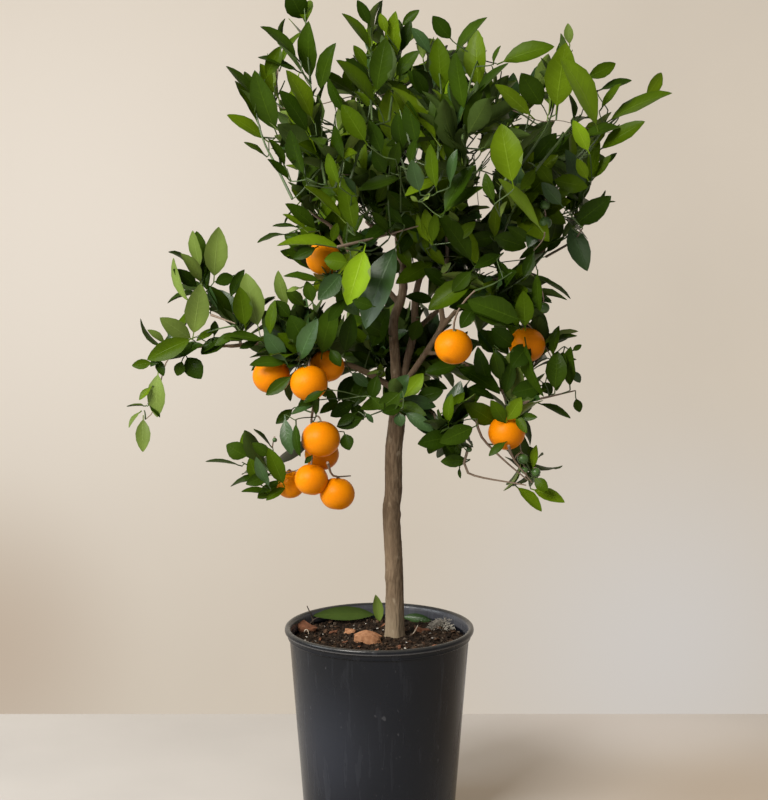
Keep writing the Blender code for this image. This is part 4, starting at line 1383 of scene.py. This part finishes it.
def placeSeenLeaf(draw, tipX, tipZ, footX, footZ, width, tone):
    # at the front of the crown there, turned about its length until it looks as wide as it should
    depth, mass = crownFront((tipX + footX) / 2, (tipZ + footZ) / 2)
    depth = beforeFruit(np.array([tipX, tipZ]), np.array([footX, footZ]), depth)
    long = math.hypot(tipX - footX, tipZ - footZ)
    lean = draw.uniform(-0.1, 0.45) * long
    foot = atDepth(footX, footZ, depth + 0.006 + lean / 2)
    tip = atDepth(tipX, tipZ, depth + 0.006 - lean / 2)
    length = float(np.linalg.norm(tip - foot))
    way = unit(tip - foot)
    seenWidth = width * (1 + depth / view["distance"])
    trueWidth = max(seenWidth, length * draw.uniform(0.40, 0.48))
    roll = math.acos(min(1.0, seenWidth / trueWidth))
    face = unit(eye - foot)
    face = unit(face - way * face.dot(way))
    side = np.cross(face, way)
    faces = [unit(face * math.cos(roll) + side * math.sin(roll) * sign) for sign in (-1, 1)]
    face = max(faces, key=lambda f: f.dot(sun))
    under = "pale" if tone in ("fresh", "young", "pale") else "dull"
    fold = draw.uniform(0.10, 0.34)
    bend = draw.uniform(0.15, 0.55)
    addLeaf(mass, draw, foot, way, face, length, trueWidth, tone, under, bend, fold, seen=True)
    return leaves[mass][-1]


seenDraw = np.random.default_rng(growth["seed"])
seen = [placeSeenLeaf(seenDraw, *[v / 1000 for v in row[:5]], row[5]) for row in seenLeaves]
nearestFirst = sorted(seen, key=lambda leaf: np.linalg.norm(woodSoFar.places - leaf["place"], axis=1).min())
for leaf in nearestFirst:
    joinTwig(leaf["place"] - leaf["way"] * leaf["length"] * growth["stalk"], leaf["way"])
seenFeet = onPlane(np.array([leaf["place"] for leaf in seen]))
seenTips = onPlane(np.array([leafTip(leaf) for leaf in seen]))
seenDepths = np.array([leaf["place"][1] for leaf in seen])
seenHalf = np.array([row[4] / 2000 for row in seenLeaves])


def hidesSeen(points):
    # True where a grown leaf would cover much of a seen one
    flat = onPlane(points)
    along = seenTips - seenFeet
    long = np.linalg.norm(along, axis=1)
    ahead = along / long[:, None]
    apart = flat[:, None, :] - seenFeet[None]
    share = (apart * ahead).sum(2) / long
    across = np.abs(apart[:, :, 0] * ahead[:, 1] - apart[:, :, 1] * ahead[:, 0])
    inside = (share > 0.05) & (share < 0.95) & (across < seenHalf * 0.9)
    inside &= points[:, 1:2] < seenDepths - 0.002
    return inside.sum(0).max() > 0.14 * len(points)


def inGap(flat, gap):
    # which points show inside the gap's oval, given in millimetres
    x, z, wide, high = gap
    across = (flat[:, 0] - x / 1000) / wide
    height = (flat[:, 1] - z / 1000) / high
    return across ** 2 + height ** 2 < 1e-6


def staysClear(points, isSeen):
    # False where a leaf would hide a fruit, cross a gap or cut into fruit
    flat = onPlane(points)
    for place, width in fruits:
        if (np.linalg.norm(points - place, axis=1) < width * 0.50).any():
            return isSeen
        if isSeen or place[1] > 0.02:
            continue
        near = np.linalg.norm(flat - onPlane(place), axis=1) < width * 0.44
        if (near & (points[:, 1] < place[1])).any():
            return False
    if isSeen:
        return True
    if any(inGap(flat, gap).any() for gap in gaps):
        return False
    return not (inGap(flat, forkGap) & (points[:, 1] < forkBack)).any() and not hidesSeen(points)


# One leaf is a flattened ball: rings round its length, poles at the stalk's foot and at the tip

leafRings = [-1.0, -0.05, 0.07, 0.23, 0.43, 0.64, 0.83, 0.95]  # of the blade, and of the stalk under 0
leafSides = 8  # five points across the top, and three more across the underside


def leafPattern():
    addShape = bpy.ops.mesh.primitive_uv_sphere_add
    points, faces = shapePattern(addShape, segments=leafSides, ring_count=len(leafRings) + 1, radius=1.0)
    heights = sorted({round(float(z), 3) for z in points[:, 2]})
    ring = np.array([heights.index(round(float(z), 3)) for z in points[:, 2]])
    turn = np.round(np.arctan2(points[:, 1], points[:, 0]) / math.tau * leafSides).astype(int) % leafSides
    return ring, turn, faces


patternRing, patternTurn, patternFaces = leafPattern()
isPole = (patternRing == 0) | (patternRing == len(leafRings) + 1)
acrossOf = np.where(isPole, 0.0, np.array([1.0, 0.55, 0.0, -0.55, -1.0, -0.55, 0.0, 0.55])[patternTurn])
isUnder = (patternTurn > 4) & ~isPole
faceIsTop = [not any(isUnder[c] for c in face) for face in patternFaces]
ringShare = np.array([-1.05] + leafRings + [1.0])
leafMap = np.stack([np.clip(ringShare[patternRing], 0, 1), acrossOf / 2 + 0.5], 1)


def leafPoints(leaf):
    # the pattern bent along its length, folded along its middle, twisted, and put in place
    share = ringShare[patternRing]
    blade = np.clip(share, 0, 1)
    steps = np.where(ringShare < 0, ringShare * growth["stalk"], ringShare) * leaf["length"]
    middles = np.clip((ringShare[1:] + ringShare[:-1]) / 2, 0, 1)
    turn = leaf["bend"] * middles ** 1.3 - 0.35 * leaf["bend"]
    sway = leaf["sweep"] * (middles - 0.4)
    ahead = np.diff(steps)
    route = np.zeros((len(ringShare), 3))
    route[0, 0] = steps[0]
    route[1:, 0] = steps[0] + np.cumsum(ahead * np.cos(turn) * np.cos(sway))
    route[1:, 1] = np.cumsum(ahead * np.sin(sway))
    route[1:, 2] = np.cumsum(-ahead * np.sin(turn))
    route -= [0, *route[2, 1:]]
    half = leaf["width"] / 2 * np.sin(math.pi * blade ** 0.92) ** 0.78
    half = np.where((share > 0) & (share < 1), half, 0.0)
    across = acrossOf * (half + np.where((share < 0.02) & ~isPole, 0.0006, 0.0))
    level = np.abs(acrossOf)
    lift = level ** 1.3 * half * math.tan(leaf["fold"])
    lift = lift + leaf["wave"] * half * np.sin(blade * 9 + leaf["phase"]) * level
    lift = lift - np.where(isUnder, np.where(share < 0.02, 0.0011, 0.0005), 0.0)
    spin = leaf["twist"] * blade
    y = across * np.cos(spin) - lift * np.sin(spin)
    z = across * np.sin(spin) + lift * np.cos(spin)
    local = route[patternRing] + np.stack([np.zeros_like(y), y, z], 1)
    way = leaf["way"]
    side = unit(np.cross(leaf["face"], way))
    return leaf["place"] + local[:, :1] * way + local[:, 1:2] * side + local[:, 2:3] * np.cross(way, side)


leafTones = {
    # name: (colour, rib colour, roughness, gloss)
    "dark": ((0.0180, 0.0390, 0.0018), (0.045, 0.084, 0.006), 0.30, 0.05),
    "deep": ((0.0290, 0.0570, 0.0030), (0.062, 0.112, 0.007), 0.31, 0.05),
    "mid": ((0.0480, 0.0860, 0.0016), (0.098, 0.160, 0.010), 0.32, 0.05),
    "fresh": ((0.0900, 0.1460, 0.0034), (0.162, 0.245, 0.018), 0.34, 0.06),
    "young": ((0.1750, 0.2900, 0.0080), (0.265, 0.385, 0.032), 0.38, 0.08),
    # sheen: a blue-grey colour that paints a reflection on glossy leaves, with more gloss as well
    "sheen": ((0.0310, 0.0680, 0.0160), (0.070, 0.140, 0.042), 0.32, 0.30),
    "pale": ((0.1300, 0.1880, 0.0320), (0.200, 0.272, 0.064), 0.48, 0.15),
    "dull": ((0.0480, 0.0790, 0.0150), (0.088, 0.132, 0.022), 0.50, 0.08),
}
toneNames = list(leafTones)


def leafMaterial(name, colour, rib, roughness, gloss):
    material, tree = newMaterial("leaf_" + name)
    mottle = groupMask(tree, "mottle", Scale=26.0)
    veins, midrib, edge = (groupMask(tree, "leafRibs", part) for part in ("Veins", "Midrib", "Edge"))
    base = mixColours(tree, mottle, shade(colour, 0.84), shade(colour, 1.18))
    # painted shade: each leaf is darker towards its edges and tip; the veins and midrib are its own colour
    ribbed = layered(tree, base, [(edge, 0.45, shade(colour, 0.55)), (veins, 0.16, rib), (midrib, 0.7, rib)])
    raised = mathNode(tree, "ADD", midrib, times(tree, veins, 0.4))
    spread = (roughness - 0.05, roughness + 0.07)
    return dress(material, ribbed, mottle, spread, gloss, (raised, 0.35, 0.0006))


leafMaterials = [leafMaterial(name, *tone) for name, tone in leafTones.items()]


def keepLeaf(mass, leaf):
    # the leaf's points, or None where it stands too far out of its mass, even made smaller, or in the way
    bound = not leaf["seen"] and mass != "between"
    if bound and outsideBy(leafTip(leaf)) > growth["outside"]:
        leaf["length"] *= 0.8
        leaf["width"] *= 0.88
        if outsideBy(leafTip(leaf)) > growth["outside"]:
            return None
    points = leafPoints(leaf)
    return points if staysClear(points, leaf["seen"]) else None


def leafPiece(name, kept, nodes=()):
    tones = [(toneNames.index(leaf["tone"]), toneNames.index(leaf["under"])) for leaf, _ in kept]
    slots = [np.where(faceIsTop, tone, under) for tone, under in tones]
    piece = copyPattern(name, [points for _, points in kept], patternFaces, slots, leafMap)
    finishPiece(piece, 45, leafMaterials, nodes)


def buildLeaves(name):
    kept = [(leaf, points) for leaf in leaves[name] if (points := keepLeaf(name, leaf)) is not None]
    kept = kept or [(leaf, leafPoints(leaf)) for leaf in leaves[name][:1]]
    if name in massNames:
        leafPiece(name.replace("foliage", "leaves"), kept, [name])
    else:
        leafPiece("leaves_" + name, kept)
    return len(kept)


print("leaves kept", [buildLeaves(name) for name in leaves])

# Twigs are tubes of a few sides

tubeSides = {"brown": 6, "green": 5, "moss": 3}


def tubeRings(route, radii, sides):
    along = unit(np.gradient(route, axis=0))
    side = np.array([1.0, 0.0, 0.0]) if abs(along[0][0]) < 0.9 else np.array([0.0, 1.0, 0.0])
    turns = np.linspace(0, math.tau, sides, endpoint=False)
    rings = []
    for place, direction, radius in zip(route, along, radii):
        side = unit(side - direction * side.dot(direction))
        across = np.cross(direction, side)
        rings.append(place + radius * (np.cos(turns)[:, None] * side + np.sin(turns)[:, None] * across))
    return np.array(rings)


def tubesPiece(name, tubes, sides, material):
    points = []
    corners = []
    sizes = []
    count = 0
    for route, radii in tubes:
        rings = tubeRings(route, radii, sides)
        for ring in range(len(rings) - 1):
            for i in range(sides):
                after = (i + 1) % sides
                low = count + ring * sides
                corners += [low + i, low + after, low + sides + after, low + sides + i]
        corners += [count + i for i in reversed(range(sides))]
        corners += [count + (len(rings) - 1) * sides + i for i in range(sides)]
        sizes += [4] * (len(rings) - 1) * sides + [sides, sides]
        points.append(rings.reshape(-1, 3))
        count += len(rings) * sides
    finishPiece(arrayPiece(name, np.concatenate(points), corners, sizes), 60, [material])


def hangFruit(place, radius):
    # a thin stalk from the nearest wood down to a fruit
    start, _, thick = woodSoFar.nearest(place, lean=-0.3)
    route = bendRoute(start, unit(place - start + up * 0.02), place, np.array([0.0, 0.0, -1.0]), 8)
    brownTwigs.append((route, np.linspace(min(thick, radius * 1.3), radius, len(route))))
    woodSoFar.add(route, radius)


for group, radius in ((fruits, 0.0011), (greenFruits, 0.0007)):
    for place, width in group:
        hangFruit(place + up * width * fruitShape["stalkAt"], radius)
greenShoot = mottledMaterial("greenShoot", (0.5, 0.65), 0.5, None)
tubesPiece("branches", brownTwigs, tubeSides["brown"], bpy.data.materials["bark"])
tubesPiece("greenShoots", greenTwigs, tubeSides["green"], greenShoot)
print("twigs", len(brownTwigs), "brown and", len(greenTwigs), "green")

# Fruit


def peelMaterial():
    material, tree = newMaterial("orangePeel")
    broad = groupMask(tree, "mottle", Scale=18.0, Detail=2.0, Low=0.3, High=0.7)
    pores = addNode(tree, "TexVoronoi", {"Scale": 620.0, "Vector": ownPlace(tree)}, "Distance")
    # a scuffed patch low on the fruit by the fork
    fruitPlace, width = fruits[9]
    scuff = fruitPlace + np.array([-0.16, -0.32, -0.34]) * width
    away = addNode(tree, "VectorMath", {0: ownPlace(tree), 1: scuff}, "Value", operation="DISTANCE")
    near = mathNode(tree, "SUBTRACT", 1.0, times(tree, away, 150.0), clamp=True)
    plain = mixColours(tree, broad, (0.62, 0.170, 0.0004), (0.75, 0.250, 0.0006))
    colour = layered(tree, plain, [(pores, 0.16, (0.46, 0.090, 0.001)), (near, 0.8, (0.30, 0.085, 0.010))])
    return dress(material, colour, broad, (0.34, 0.44), 0.09, (pores, 0.16, 0.0005))


def fruitPattern():
    # a ball, flattened a little, drawn in at the stalk and at the navel
    points, faces = shapePattern(bpy.ops.mesh.primitive_uv_sphere_add, segments=28, ring_count=18, radius=1.0)
    out = np.hypot(points[:, 0], points[:, 1])
    dent = 0.07 * np.exp(-(out / 0.22) ** 2)
    points[:, 2] = points[:, 2] * 0.93 - np.where(points[:, 2] > 0, dent, -0.6 * dent)
    return points, faces


def capPattern():
    # a little five-lobed cap where the stalk joins
    points, faces = shapePattern(
        bpy.ops.mesh.primitive_cone_add, vertices=10, radius1=1.0, radius2=0.35, depth=0.5)
    turn = np.round(np.arctan2(points[:, 1], points[:, 0]) / math.tau * 10) % 2
    points[:, :2] *= np.where((turn == 1) & (points[:, 2] < 0), 0.55, 1.0)[:, None]
    return points, faces


def buildFruit(name, group, material, lean, draw):
    ball, ballFaces = fruitPattern()
    cap, capFaces = capPattern()
    balls = []
    caps = []
    for place, width in group:
        leans = [("X", draw.uniform(-lean, lean)), ("Y", draw.uniform(-lean, lean))]
        turn = rotation(*leans, ("Z", draw.uniform(0, math.tau)))
        top = place + turn @ np.array([0, 0, width * fruitShape["capAt"]])
        balls.append(ball * (width / 2) @ turn.T + place)
        caps.append(cap * (width * fruitShape["capRadius"]) @ turn.T + top)
    finishPiece(copyPattern(name, balls, ballFaces), 180, [material])
    finishPiece(copyPattern(name + "Caps", caps, capFaces), 40, [greenShoot])


fruitDraw = random.Random(17)
buildFruit("fruit", fruits, peelMaterial(), 0.25, fruitDraw)
buildFruit("greenFruit", greenFruits, mottledMaterial("greenPeel", (0.34, 0.44), 0.5, None), 0.4, fruitDraw)
print("fruit", len(fruits), "ripe and", len(greenFruits), "green")

# Fallen leaves, sticks and a tuft of moss on the soil


def layLeaves():
    kept = []
    for foot, tip, width, tone in litterLeaves:
        along = np.array(tip) - np.array(foot)
        leaf = {
            "place": np.array(foot), "way": unit(along), "face": np.array([0.0, -0.85, 0.5]), "width": width,
            "length": float(np.linalg.norm(along)), "tone": tone, "under": "dull", "bend": 0.2, "fold": 0.3,
            "sweep": 0.1, "twist": 0.1, "wave": 0.05, "phase": 0.0,
        }
        kept.append((leaf, leafPoints(leaf)))
    leafPiece("litterLeaves", kept)


def laySticks(name, sticks, material):
    tubes = []
    for line, radius in sticks:
        route = smoothRoute(line, 0.0015)
        tubes.append((route, np.linspace(radius, radius * 0.5, len(route))))
    tubesPiece(name, tubes, tubeSides["brown"], material)


def growMoss():
    draw = np.random.default_rng(23)
    fibres = []
    for _ in range(moss["fibres"]):
        turn, far = draw.uniform(0, math.tau), draw.uniform(0, 1) ** 0.6
        x = moss["place"][0] + moss["half"][0] * far * math.cos(turn)
        y = moss["place"][1] + moss["half"][1] * far * math.sin(turn)
        if math.hypot(x, y) > moss["reach"]:
            continue
        z = soil["top"] + moss["height"] * (1 - far * far) * draw.uniform(0.3, 1.0)
        heading = [math.cos(turn + draw.uniform(-1, 1)), math.sin(turn + draw.uniform(-1, 1))]
        lie = np.array(heading + [draw.uniform(0.0, 0.9)])
        foot = np.array([x, y, z])
        route = smoothRoute([foot, foot + lie * 0.002, foot - up * 0.001 + lie * 0.004], 0.001)
        fibres.append((route, np.full(len(route), moss["radius"])))
    tubesPiece("moss", fibres, tubeSides["moss"], mottledMaterial("mossGrey"))


layLeaves()
laySticks("paleSticks", paleSticks, mottledMaterial("dryStick"))
laySticks("darkStalk", darkStalks, mottledMaterial("dryStalk"))
growMoss()
print("litter laid")
